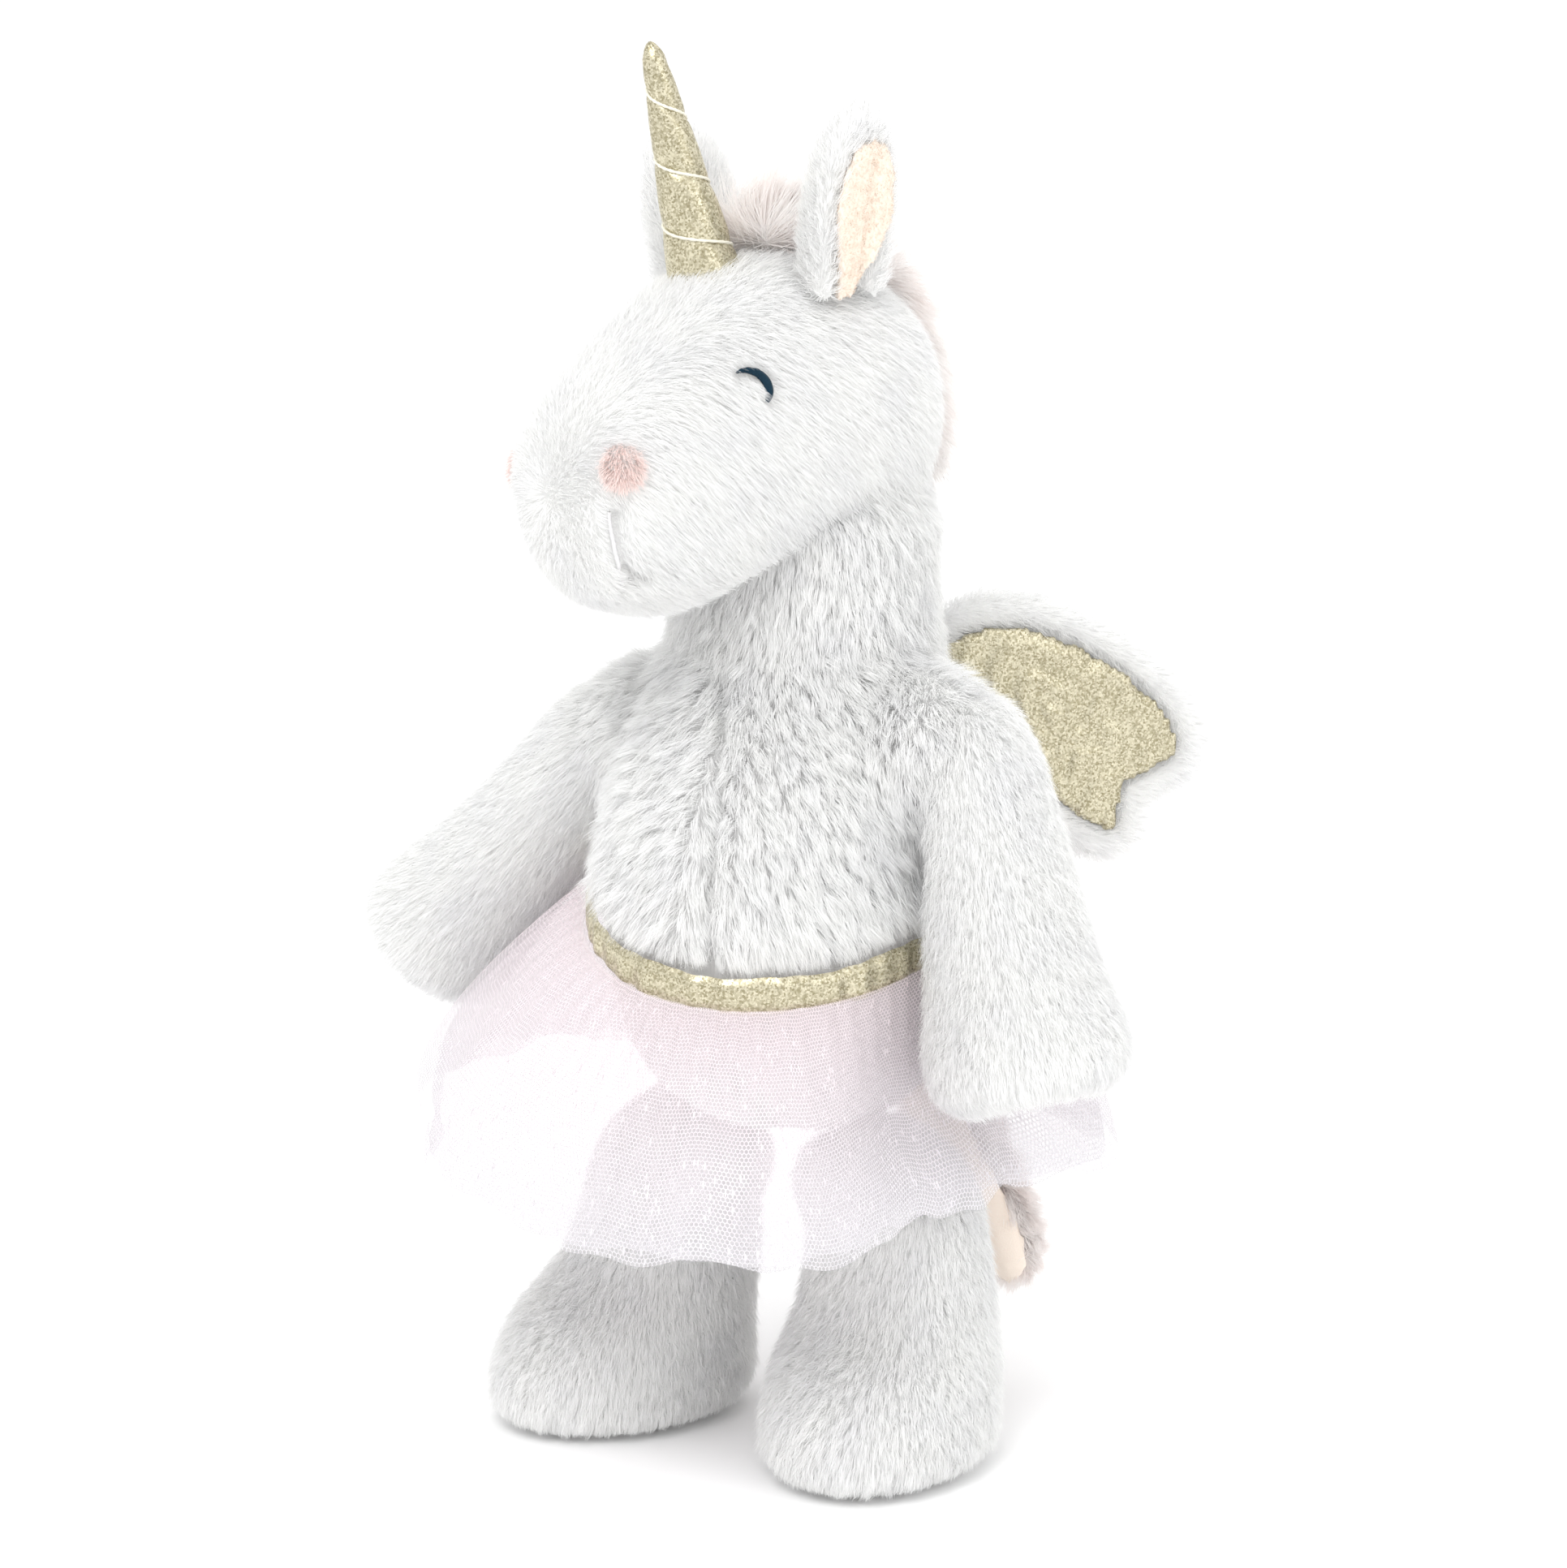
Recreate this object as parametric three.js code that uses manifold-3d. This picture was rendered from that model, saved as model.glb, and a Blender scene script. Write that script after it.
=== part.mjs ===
// A standing plush unicorn with a gold horn, gold-faced wings and a tulle skirt.
// Millimetres, +Z up. It faces -Y, so its own left is +X. The origin is on the ground, under the middle.
import * as THREE from "three";
import { mergeVertices } from "three/addons/utils/BufferGeometryUtils.js";
import Module from "manifold-3d";

const wasm = await Module();
wasm.setup();

// ---- driving dimensions ----
const GAP = 0.3; // between pieces sewn to each other
const PLUSH = 4; // backing cloth with its pressed pile
const FELT = 1.2; // smooth cloth: lame, linings, embroidery

const TORSO_BOTTOM = 107;
const TORSO_TOP = 236;
const BELLY_HALF_WIDTH = 51;
const BELLY_HALF_DEPTH = 60;
const NECK_HALF_WIDTH = 36;
const NECK_BACK_SET = 12; // the neck stands this far behind the middle of the belly
const SIDE_SEAM_Y = 8;

const NECK_BALL_RADIUS = 38;
const NECK_CENTRE_Z = 254;
const NECK_TOP = 258;
const NECK_CLEARANCE = 1.1;

const HEAD_TURN = -20; // degrees, towards its own right
const HEAD_TILT = -6; // degrees, right ear down
const HEAD_REACH = 51; // from the neck's axis forward to the eyes
const EYE_HEIGHT = 313;
const HEAD_LENGTH = 131;
const HEAD_HALF_WIDTH = 40;
const MUZZLE_HALF_WIDTH = 28;
const GUSSET_HALF_WIDTH = 12;
const NOSE_Y = -47; // the nose's front, from the eyes

const HORN_LENGTH = 59;
const HORN_ROOT = 16; // sunk below the surface of the head, then cut away
const HORN_Y = 19; // behind the eyes
const HORN_BASE_RADIUS = 11.4;
const HORN_TIP_RADIUS = 2.4;
const HORN_LEAN = 12; // degrees forward
const HORN_TURNS = 2.6; // left-handed
const THREAD_RADIUS = 0.6;
const HORN_WRAP_START = 0.3; // radians

const MANE_FRONT_Y = 32; // behind the horn

const EAR_LENGTH = 60;
const EAR_HALF_WIDTH = 15.5;
const EAR_HALF_THICKNESS = 4.8;
const EAR_SPREAD = 31; // from the middle of the head to an ear's root
const EAR_CLEARANCE = 2.2;
const EAR_OUTWARD = 96; // degrees that an ear's opening turns out from straight ahead

const NOSTRIL_HALF_HEIGHT = 6.5;
const NOSTRIL_HALF_WIDTH = 4.8; // seen from the side, where it runs round the muzzle
const EYE_RADIUS = 6.3;

const SHOULDER_X = BELLY_HALF_WIDTH + 6; // the arms stand off the sides of the belly
const SHOULDER_Y = 3;
const SHOULDER_Z = 204;
const ARM_LENGTH = 99;
const ARM_RADIUS = 22.5;
const PAW_RADIUS = 29.5;
const PAD_RADIUS = 14;
const PAD_RECESS = 2;

const HIP_X = 36;
const HIP_Z = 76;
const LEG_RADIUS = 26;
const FOOT_HALF_LENGTH = 42;
const FOOT_HALF_WIDTH = 31.5;
const FOOT_FORWARD = 16;
const SOLE_THICKNESS = 2.5;

const BAND_HEIGHT = 10;
const BAND_Z = 160;
const BAND_TILT = 14; // degrees, front down
const BAND_ROLL = 7; // degrees, left side down

const SKIRT_HEM_Z = 79;
const SKIRT_FLARE = 45;
const SKIRT_CLOTH = 0.7;
const SKIRT_STANDOFF = 3.7; // from the hips out to the outer layer
const SKIRT_LAYER_STEP = 3.1;
const SKIRT_FOLDS = 12;
const SKIRT_FOLD_DEPTH = 2.4;
const SKIRT_SIDE_LIFT = 14; // the hem is this much higher at the right side
const ARM_PRESS_ANGLE = -10; // degrees round from the left side, where the left arm rests on the skirt
const ARM_PRESS_WIDTH = 42; // degrees
const ARM_PRESS_FLARE = 15;

const WING_SPAN = 94;
const WING_THICKNESS = 10;
const WING_SWEEP = 45; // degrees back from straight out
const WING_RIM = 10;
const WING_ROOT_X = 7;
const WING_ROOT_Y = 60;
const WING_ROOT_Z = 221;

const TAIL_ROOT_Z = 116;
const TAIL_RADIUS = 12;

// ---- colours ----
const WHITE_PLUSH = { color: "#f4f4f6", roughness: 0.95, metalness: 0 };
const MANE_PLUSH = { color: "#ece3e0", roughness: 0.95, metalness: 0 };
const PEACH = { color: "#f7e2d2", roughness: 0.9, metalness: 0 };
const PINK = { color: "#f3cfca", roughness: 0.9, metalness: 0 };
const GOLD = { color: "#c9bd8e", roughness: 0.45, metalness: 0.5 };
const CREAM_THREAD = { color: "#eee6d2", roughness: 0.6, metalness: 0 };
const NAVY_THREAD = { color: "#0f2a38", roughness: 0.6, metalness: 0 };
const TULLE = { color: "#f3dfe6", roughness: 0.7, metalness: 0 };
const FIBRE = { color: "#fbfbfb", roughness: 1, metalness: 0 };

// ---- helpers ----
const SIDES = Object.entries({ left: 1, right: -1 });
const radians = THREE.MathUtils.degToRad;
const vec = (x, y, z) => new THREE.Vector3(x, y, z);

// A closed geometry with shared vertices and its faces pointing out.
function tidied(geometry, matrix = new THREE.Matrix4()) {
  const bare = new THREE.BufferGeometry();
  bare.setAttribute("position", geometry.getAttribute("position").clone());
  if (geometry.index) bare.setIndex(geometry.index);
  bare.applyMatrix4(matrix);
  const merged = mergeVertices(bare, 1e-4);
  const at = merged.attributes.position;
  const index = Array.from(merged.index.array);
  const corner = [vec(0, 0, 0), vec(0, 0, 0), vec(0, 0, 0)];
  let volume = 0;
  for (let i = 0; i < index.length; i += 3) {
    for (let k = 0; k < 3; k += 1) corner[k].fromBufferAttribute(at, index[i + k]);
    volume += corner[0].dot(corner[1].clone().cross(corner[2]));
  }
  if (volume < 0) index.reverse();
  merged.setIndex(index);
  return merged;
}

// The solid that a closed geometry bounds, moved by a matrix if one is given.
function solid(geometry, matrix) {
  const merged = tidied(geometry, matrix);
  const vertProperties = merged.attributes.position.array;
  const triVerts = new Uint32Array(merged.index.array);
  return new wasm.Manifold(new wasm.Mesh({ numProp: 3, vertProperties, triVerts }));
}

function geometryOf(body) {
  const mesh = body.getMesh();
  const geometry = new THREE.BufferGeometry();
  const points = new Float32Array(mesh.vertProperties);
  geometry.setAttribute("position", new THREE.BufferAttribute(points, 3));
  geometry.setIndex(new THREE.BufferAttribute(new Uint32Array(mesh.triVerts), 1));
  geometry.computeVertexNormals();
  return geometry;
}

// A cut can leave a sliver beside the piece: the piece is the largest body.
function addPiece(group, name, body, look) {
  const bodies = body.decompose().sort((a, b) => b.volume() - a.volume());
  const geometry = geometryOf(bodies[0]);
  const mesh = new THREE.Mesh(geometry, new THREE.MeshStandardMaterial(look));
  mesh.name = name;
  group.add(mesh);
  return mesh;
}

// A box solid between two corners.
function block(x0, x1, y0, y1, z0, z1, matrix) {
  const box = new THREE.BoxGeometry(x1 - x0, y1 - y0, z1 - z0);
  box.translate((x0 + x1) / 2, (y0 + y1) / 2, (z0 + z1) / 2);
  return solid(box, matrix);
}

// A copy of a closed form, with its surface moved out (or in) by a distance.
function grown(form, distance) {
  const merged = tidied(form);
  merged.computeVertexNormals();
  const at = merged.attributes.position;
  const normal = merged.attributes.normal;
  for (let i = 0; i < at.count; i += 1) {
    at.setXYZ(
      i,
      at.getX(i) + distance * normal.getX(i),
      at.getY(i) + distance * normal.getY(i),
      at.getZ(i) + distance * normal.getZ(i),
    );
  }
  merged.deleteAttribute("normal");
  return merged;
}

// A closed soft form. Each station is { at, wide, deep }: the middle of a section and its two half
// sizes, along `side` and along `ahead`. Ends can be domed over the given shares of the length.
function softForm(stations, { side, ahead, along = 12, around = 20, domes = [0, 0], square = 2 }) {
  const spine = new THREE.CatmullRomCurve3(stations.map((s) => s.at));
  const sizes = new THREE.CatmullRomCurve3(stations.map((s) => vec(s.wide, s.deep, 0)));
  const geometry = new THREE.CylinderGeometry(1, 1, 1, around, along);
  const at = geometry.attributes.position;
  const dome = (share, reach) => {
    if (share >= reach) return 1;
    const run = 1 - share / reach;
    return Math.sqrt(Math.max(1 - run * run, 0.0015));
  };
  for (let i = 0; i < at.count; i += 1) {
    const step = 0.5 - at.getY(i);
    // rings crowd towards the ends, where the form rounds over
    const share = 0.5 * step + 0.25 * (1 - Math.cos(Math.PI * step));
    const middle = spine.getPoint(share);
    const size = sizes.getPoint(share);
    const round = dome(share, domes[0]) * dome(1 - share, domes[1]);
    const x = at.getX(i);
    const z = at.getZ(i);
    const length = Math.hypot(x, z);
    const sum = Math.abs(x / length) ** square + Math.abs(z / length) ** square;
    const bulge = length < 1e-6 ? 0 : 1 / Math.pow(sum, 1 / square);
    const point = middle
      .addScaledVector(side, x * bulge * size.x * round)
      .addScaledVector(ahead, z * bulge * size.y * round);
    at.setXYZ(i, point.x, point.y, point.z);
  }
  return geometry;
}

// ---- torso ----
const unicorn = new THREE.Group();
const torso = new THREE.Group();
unicorn.add(torso);

const torsoSection = (z, wide, deep, y) => ({ at: vec(0, y, z), wide, deep });
const torsoForm = softForm(
  [
    torsoSection(TORSO_BOTTOM, BELLY_HALF_WIDTH - 12, BELLY_HALF_DEPTH - 18, 1),
    torsoSection(TORSO_BOTTOM + 12, BELLY_HALF_WIDTH - 4, BELLY_HALF_DEPTH - 7, 1),
    torsoSection(TORSO_BOTTOM + 36, BELLY_HALF_WIDTH, BELLY_HALF_DEPTH - 1, 0),
    torsoSection(TORSO_BOTTOM + 58, BELLY_HALF_WIDTH, BELLY_HALF_DEPTH, 0),
    torsoSection(TORSO_BOTTOM + 80, BELLY_HALF_WIDTH - 2, BELLY_HALF_DEPTH - 4, 1),
    torsoSection(TORSO_BOTTOM + 100, BELLY_HALF_WIDTH - 5, BELLY_HALF_DEPTH - 12, 5),
    torsoSection(TORSO_TOP - 12, NECK_HALF_WIDTH + 5, NECK_HALF_WIDTH + 4, NECK_BACK_SET - 2),
    torsoSection(TORSO_TOP, NECK_HALF_WIDTH, NECK_HALF_WIDTH, NECK_BACK_SET),
  ],
  { side: vec(-1, 0, 0), ahead: vec(0, 1, 0), along: 9, around: 18 },
);

function neckBall(radius) {
  const ball = new THREE.SphereGeometry(radius, 16, 10);
  ball.rotateX(Math.PI / 2);
  ball.translate(0, NECK_BACK_SET, NECK_CENTRE_Z);
  return ball;
}

const socket = solid(neckBall(NECK_BALL_RADIUS + NECK_CLEARANCE));
const torsoSkin = solid(torsoForm).subtract(solid(grown(torsoForm, -PLUSH))).subtract(socket);
const seam = GAP / 2;
const front = block(-90, 90, -90, SIDE_SEAM_Y - seam, 90, 260);
const back = block(-90, 90, SIDE_SEAM_Y + seam, 90, 90, 260);
const leftHalf = block(seam, 90, -90, 90, 90, 260);
const rightHalf = block(-90, -seam, -90, 90, 90, 260);
addPiece(torso, "torso_front_left", torsoSkin.intersect(front).intersect(leftHalf), WHITE_PLUSH);
addPiece(torso, "torso_front_right", torsoSkin.intersect(front).intersect(rightHalf), WHITE_PLUSH);
addPiece(torso, "torso_back", torsoSkin.intersect(back), WHITE_PLUSH);
const torsoRoom = block(-90, 90, -90, 90, TORSO_BOTTOM + PLUSH + 3, TORSO_TOP - PLUSH - 3);
const torsoFill = solid(grown(torsoForm, -PLUSH - 2 * GAP)).intersect(torsoRoom);
addPiece(torso, "torso_stuffing", torsoFill.subtract(socket), FIBRE);

// ---- waistband ----
const bandTurn = new THREE.Euler(radians(BAND_TILT), radians(BAND_ROLL), 0);
const tiltBand = new THREE.Matrix4().makeRotationFromEuler(bandTurn);
tiltBand.setPosition(0, 0, BAND_Z);
const bandSlab = block(-90, 90, -90, 90, -BAND_HEIGHT / 2, BAND_HEIGHT / 2, tiltBand);
const bandUp = vec(0, 0, 1).applyEuler(bandTurn);
const bandSleeve = solid(grown(torsoForm, GAP + FELT)).subtract(solid(grown(torsoForm, GAP)));
addPiece(torso, "waistband", bandSleeve.intersect(bandSlab), GOLD);

// ---- skirt: two gathered layers of tulle, pushed in where the left arm hangs over them ----
const skirtTop = (x, y) => BAND_Z - (bandUp.x * x + bandUp.y * y + BAND_HEIGHT / 2 + 3 * GAP) / bandUp.z;

function skirtLayer(inset) {
  const rings = 4;
  const profile = [];
  for (let i = 0; i <= rings; i += 1) profile.push(new THREE.Vector2(1, -i / rings));
  for (let i = rings; i >= 0; i -= 1) profile.push(new THREE.Vector2(2, -i / rings));
  profile.push(profile[0].clone());
  const geometry = new THREE.LatheGeometry(profile, SKIRT_FOLDS * 3);
  const at = geometry.attributes.position;
  for (let i = 0; i < at.count; i += 1) {
    const fall = -at.getY(i);
    const outer = Math.hypot(at.getX(i), at.getZ(i)) > 1.5 ? 1 : 0;
    const angle = Math.atan2(-at.getZ(i), at.getX(i));
    let away = Math.abs(angle - radians(ARM_PRESS_ANGLE));
    away = Math.min(away, 2 * Math.PI - away);
    const press = Math.exp(-((away / radians(ARM_PRESS_WIDTH)) ** 4));
    const side = 1 + 0.16 * Math.max(0, -Math.cos(angle));
    const free = SKIRT_FLARE * side * Math.pow(fall, 0.85);
    const pressed = ARM_PRESS_FLARE * THREE.MathUtils.smoothstep(fall, 0.6, 0.95);
    const flare = THREE.MathUtils.lerp(free, pressed, press);
    const fold = SKIRT_FOLD_DEPTH * fall * (1 - press) * Math.cos(SKIRT_FOLDS * angle);
    const spread = SKIRT_STANDOFF + flare + fold - inset * (1 + 0.35 * fall) + outer * SKIRT_CLOTH;
    const x = (BELLY_HALF_WIDTH + spread) * Math.cos(angle);
    const y = (BELLY_HALF_DEPTH + spread - 8 * fall) * Math.sin(angle);
    const hem = SKIRT_HEM_Z + SKIRT_SIDE_LIFT * Math.max(0, -Math.cos(angle)) ** 2;
    const top = skirtTop(
      (BELLY_HALF_WIDTH + SKIRT_STANDOFF) * Math.cos(angle),
      (BELLY_HALF_DEPTH + SKIRT_STANDOFF) * Math.sin(angle),
    );
    at.setXYZ(i, x, y, THREE.MathUtils.lerp(top, hem, fall));
  }
  return geometry;
}
addPiece(torso, "skirt_outer_tulle", solid(skirtLayer(0)), TULLE);
addPiece(torso, "skirt_inner_tulle", solid(skirtLayer(SKIRT_LAYER_STEP)), TULLE);

// ---- neck ----
const neck = new THREE.Group();
torso.add(neck);
const neckBand = block(-60, 60, -60, 80, TORSO_TOP - 14, NECK_TOP);
const neckSkin = solid(neckBall(NECK_BALL_RADIUS)).subtract(solid(neckBall(NECK_BALL_RADIUS - PLUSH)));
addPiece(neck, "neck_plush", neckSkin.intersect(neckBand), WHITE_PLUSH);
const neckCore = solid(neckBall(NECK_BALL_RADIUS - PLUSH - GAP));
addPiece(neck, "neck_stuffing", neckCore.intersect(block(-60, 60, -60, 80, 200, NECK_TOP - GAP)), FIBRE);

// ---- head: its own frame has the eyes' level at z = 0, forward along -Y, and the middle at x = 0 ----
const headTurn = new THREE.Group();
headTurn.position.set(0, NECK_BACK_SET, EYE_HEIGHT);
headTurn.rotation.z = radians(HEAD_TURN);
neck.add(headTurn);
const head = new THREE.Group();
head.position.set(0, -HEAD_REACH, 0);
head.rotation.y = radians(HEAD_TILT);
headTurn.add(head);
unicorn.updateMatrixWorld(true);
const worldToHead = head.matrixWorld.clone().invert();

const headSection = (share, top, bottom, wide) => ({
  at: vec(0, NOSE_Y + share * HEAD_LENGTH, (top + bottom) / 2),
  wide,
  deep: (top - bottom) / 2,
});
const headForm = softForm(
  [
    headSection(0, -8, -54, MUZZLE_HALF_WIDTH - 3),
    headSection(0.08, -1, -63, MUZZLE_HALF_WIDTH - 1),
    headSection(0.16, 5, -66, MUZZLE_HALF_WIDTH + 1),
    headSection(0.27, 14, -69, MUZZLE_HALF_WIDTH + 5),
    headSection(0.39, 24, -66, HEAD_HALF_WIDTH - 3),
    headSection(0.52, 30, -61, HEAD_HALF_WIDTH),
    headSection(0.66, 31, -56, HEAD_HALF_WIDTH + 1),
    headSection(0.82, 26, -52, HEAD_HALF_WIDTH - 2),
    headSection(0.93, 16, -46, HEAD_HALF_WIDTH - 7),
    headSection(1, 8, -40, HEAD_HALF_WIDTH - 12),
  ],
  { side: vec(1, 0, 0), ahead: vec(0, 0, 1), along: 11, around: 18, domes: [0.16, 0.14], square: 2.15 },
);

// The collar under the head, on the neck's axis, whatever the head's tilt.
function collar(radius, bottom) {
  const tube = new THREE.CylinderGeometry(radius, radius, 300 - bottom, 16);
  tube.rotateX(Math.PI / 2);
  tube.translate(0, NECK_BACK_SET, (300 + bottom) / 2);
  return solid(tube, worldToHead);
}
const HEAD_BOTTOM = NECK_TOP + NECK_CLEARANCE;
const belowHead = new THREE.CylinderGeometry(NECK_BALL_RADIUS + 4, NECK_BALL_RADIUS + 4, 60, 20);
belowHead.rotateX(Math.PI / 2);
belowHead.translate(0, NECK_BACK_SET, HEAD_BOTTOM - 30);
const neckRoom = solid(belowHead, worldToHead);
const headOuter = solid(headForm).add(collar(NECK_BALL_RADIUS - 2, HEAD_BOTTOM)).subtract(neckRoom);
const headInner = solid(grown(headForm, -PLUSH)).add(collar(NECK_BALL_RADIUS - 2 - PLUSH, HEAD_BOTTOM - 10));
const headSkin = headOuter.subtract(headInner);
const gussetZone = block(-GUSSET_HALF_WIDTH, GUSSET_HALF_WIDTH, -90, 110, -26, 60);
const gussetCut = block(-GUSSET_HALF_WIDTH - GAP, GUSSET_HALF_WIDTH + GAP, -90, 110, -26 - GAP, 60);
const headLeftZone = block(seam, 70, -90, 110, -120, 60).subtract(gussetCut);
const headRightZone = block(-70, -seam, -90, 110, -120, 60).subtract(gussetCut);
addPiece(head, "head_side_left", headSkin.intersect(headLeftZone), WHITE_PLUSH);
addPiece(head, "head_side_right", headSkin.intersect(headRightZone), WHITE_PLUSH);
addPiece(head, "head_gusset", headSkin.intersect(gussetZone), WHITE_PLUSH);
const headFill = solid(grown(headForm, -PLUSH - 2 * GAP)).add(
  collar(NECK_BALL_RADIUS - 2 - PLUSH - GAP, HEAD_BOTTOM + GAP),
);
addPiece(head, "head_stuffing", headFill.subtract(neckRoom), FIBRE);

// Thin things sewn on the head's surface: the part of a skin over it that a cutter picks out.
const faceCloth = solid(grown(headForm, GAP + FELT)).subtract(solid(grown(headForm, GAP)));

function sidePunch(shape, y, z, side) {
  const tool = new THREE.ExtrudeGeometry(shape, { depth: 40, bevelEnabled: false, curveSegments: 8 });
  const matrix = new THREE.Matrix4().makeBasis(vec(0, 1, 0), vec(0, 0, 1), vec(side, 0, 0));
  matrix.setPosition(side * 8, y, z);
  return solid(tool, matrix);
}

// An arc of thread with round ends, seen from the side.
function arcShape(radius, start, end, thickness) {
  const shape = new THREE.Shape();
  shape.absarc(0, 0, radius + thickness / 2, start, end, false);
  shape.absarc(0, 0, radius - thickness / 2, end, start, true);
  shape.closePath();
  return shape;
}

const roundShape = new THREE.Shape();
roundShape.absellipse(0, 0, NOSTRIL_HALF_WIDTH, NOSTRIL_HALF_HEIGHT, 0, 2 * Math.PI, false, 0);
for (const [label, side] of SIDES) {
  const eye = sidePunch(arcShape(EYE_RADIUS, radians(-34), radians(120), 2.4), 2, -7, side);
  addPiece(head, "eye_" + label, faceCloth.intersect(eye), NAVY_THREAD);
  const nostril = sidePunch(roundShape, -35.8, -24.2, side);
  addPiece(head, "nostril_" + label, faceCloth.intersect(nostril), PINK);
  const mouth = sidePunch(arcShape(26, radians(178), radians(238), 1.4), -17, -34, side);
  addPiece(head, "mouth_stitch_" + label, faceCloth.intersect(mouth), WHITE_PLUSH);
}

// ---- horn ----
const horn = new THREE.Group();
horn.position.set(0, HORN_Y, 14);
horn.rotation.x = radians(HORN_LEAN);
head.add(horn);
const hornRadius = (z) => {
  const share = z / (HORN_LENGTH + HORN_ROOT);
  return HORN_BASE_RADIUS + (HORN_TIP_RADIUS - HORN_BASE_RADIUS) * share;
};

function hornForm(inset) {
  const top = HORN_LENGTH + HORN_ROOT - inset;
  const profile = [new THREE.Vector2(0, 0)];
  for (let i = 0; i <= 8; i += 1) {
    const z = (i / 8) * (top - HORN_TIP_RADIUS);
    profile.push(new THREE.Vector2(hornRadius(z) - inset, z));
  }
  profile.push(new THREE.Vector2((HORN_TIP_RADIUS - inset * 0.6) * 0.6, top - HORN_TIP_RADIUS * 0.35));
  profile.push(new THREE.Vector2(0, top));
  const geometry = new THREE.LatheGeometry(profile, 14);
  geometry.rotateX(Math.PI / 2);
  return geometry;
}
unicorn.updateMatrixWorld(true);
const headToHorn = horn.matrix.clone().invert();
const scalpCut = solid(grown(headForm, GAP), headToHorn);
const hornHollow = solid(hornForm(FELT));
const hornCover = solid(hornForm(0)).subtract(hornHollow.subtract(block(-20, 20, -20, 20, 70, 100)));
addPiece(horn, "horn_cover", hornCover.subtract(scalpCut), GOLD);
const hornFill = solid(hornForm(FELT + GAP)).subtract(solid(grown(headForm, GAP + 0.2), headToHorn));
addPiece(horn, "horn_stuffing", hornFill.subtract(block(-20, 20, -20, 20, 69.5, 100)), FIBRE);

class HornSpiral extends THREE.Curve {
  getPoint(t, target = new THREE.Vector3()) {
    const z = HORN_ROOT + 5 + t * (HORN_LENGTH - 14);
    const radius = hornRadius(z) + 1.5 * GAP + THREAD_RADIUS;
    const angle = HORN_WRAP_START - t * HORN_TURNS * 2 * Math.PI;
    return target.set(radius * Math.cos(angle), radius * Math.sin(angle), z);
  }
}
const threadSection = new THREE.Shape().absarc(0, 0, THREAD_RADIUS, 0, 2 * Math.PI, false);
const threadGeometry = new THREE.ExtrudeGeometry(threadSection, {
  extrudePath: new HornSpiral(),
  steps: 34,
  curveSegments: 4,
});
addPiece(horn, "horn_thread", solid(threadGeometry), CREAM_THREAD);

// ---- mane: a strip of long pile from the brow over the back of the head ----
const maneCloth = solid(grown(headForm, 8)).subtract(solid(grown(headForm, GAP)));
const maneZone = block(-9, 9, MANE_FRONT_Y, 120, -36, 60);
const maneFree = maneCloth.intersect(maneZone).subtract(collar(NECK_BALL_RADIUS - 2 + GAP, HEAD_BOTTOM - 5));
addPiece(head, "mane", maneFree, MANE_PLUSH);

// ---- ears ----
const earStation = (share, wide, deep) => ({ at: vec(0, 0, share * EAR_LENGTH), wide, deep });

function earForm(scale, forward) {
  const form = softForm(
    [
      earStation(-0.2, EAR_HALF_WIDTH * 0.62, EAR_HALF_THICKNESS),
      earStation(0.15, EAR_HALF_WIDTH * 0.88, EAR_HALF_THICKNESS),
      earStation(0.45, EAR_HALF_WIDTH, EAR_HALF_THICKNESS),
      earStation(0.75, EAR_HALF_WIDTH * 0.86, EAR_HALF_THICKNESS * 0.9),
      earStation(1, EAR_HALF_WIDTH * 0.6, EAR_HALF_THICKNESS * 0.8),
    ],
    { side: vec(1, 0, 0), ahead: vec(0, 1, 0), along: 7, around: 12, domes: [0, 0.22] },
  );
  form.scale(scale, 1, 0.6 + 0.4 * scale);
  form.translate(0, forward, 0);
  return form;
}

for (const [label, side] of SIDES) {
  const ear = new THREE.Group();
  ear.position.set(side * EAR_SPREAD, 40, 10);
  ear.rotation.set(radians(11), radians(side * 2), radians(side * EAR_OUTWARD), "ZYX");
  head.add(ear);
  unicorn.updateMatrixWorld(true);
  const headToEar = ear.matrix.clone().invert();
  const away = solid(grown(headForm, EAR_CLEARANCE), headToEar);
  const hollow = earForm(0.66, -EAR_HALF_THICKNESS);
  const plush = solid(earForm(1, 0)).subtract(solid(hollow)).subtract(away);
  addPiece(ear, "ear_plush_" + label, plush, WHITE_PLUSH);
  const lining = solid(grown(hollow, -GAP)).intersect(block(-30, 30, -EAR_HALF_THICKNESS + 1, 9, -20, 90));
  const above = solid(grown(headForm, EAR_CLEARANCE + 1), headToEar);
  addPiece(ear, "ear_lining_" + label, lining.subtract(above), PEACH);
}

// ---- arms: the arm's own frame has the shoulder at the origin and the paw along -Z ----
const armStation = (z, radius) => ({ at: vec(0, 0, z), wide: radius, deep: radius });
const armForm = softForm(
  [
    armStation(ARM_RADIUS * 0.9, 9),
    armStation(9, ARM_RADIUS - 2),
    armStation(-12, ARM_RADIUS),
    armStation(-36, ARM_RADIUS + 0.8),
    armStation(-60, ARM_RADIUS + 2.5),
    armStation(-76, PAW_RADIUS - 1),
    armStation(-89, PAW_RADIUS),
    armStation(-ARM_LENGTH + 4, PAW_RADIUS - 3),
    armStation(-ARM_LENGTH, PAD_RADIUS + 3),
  ],
  { side: vec(1, 0, 0), ahead: vec(0, 1, 0), along: 8, around: 12, domes: [0.1, 0] },
);

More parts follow.
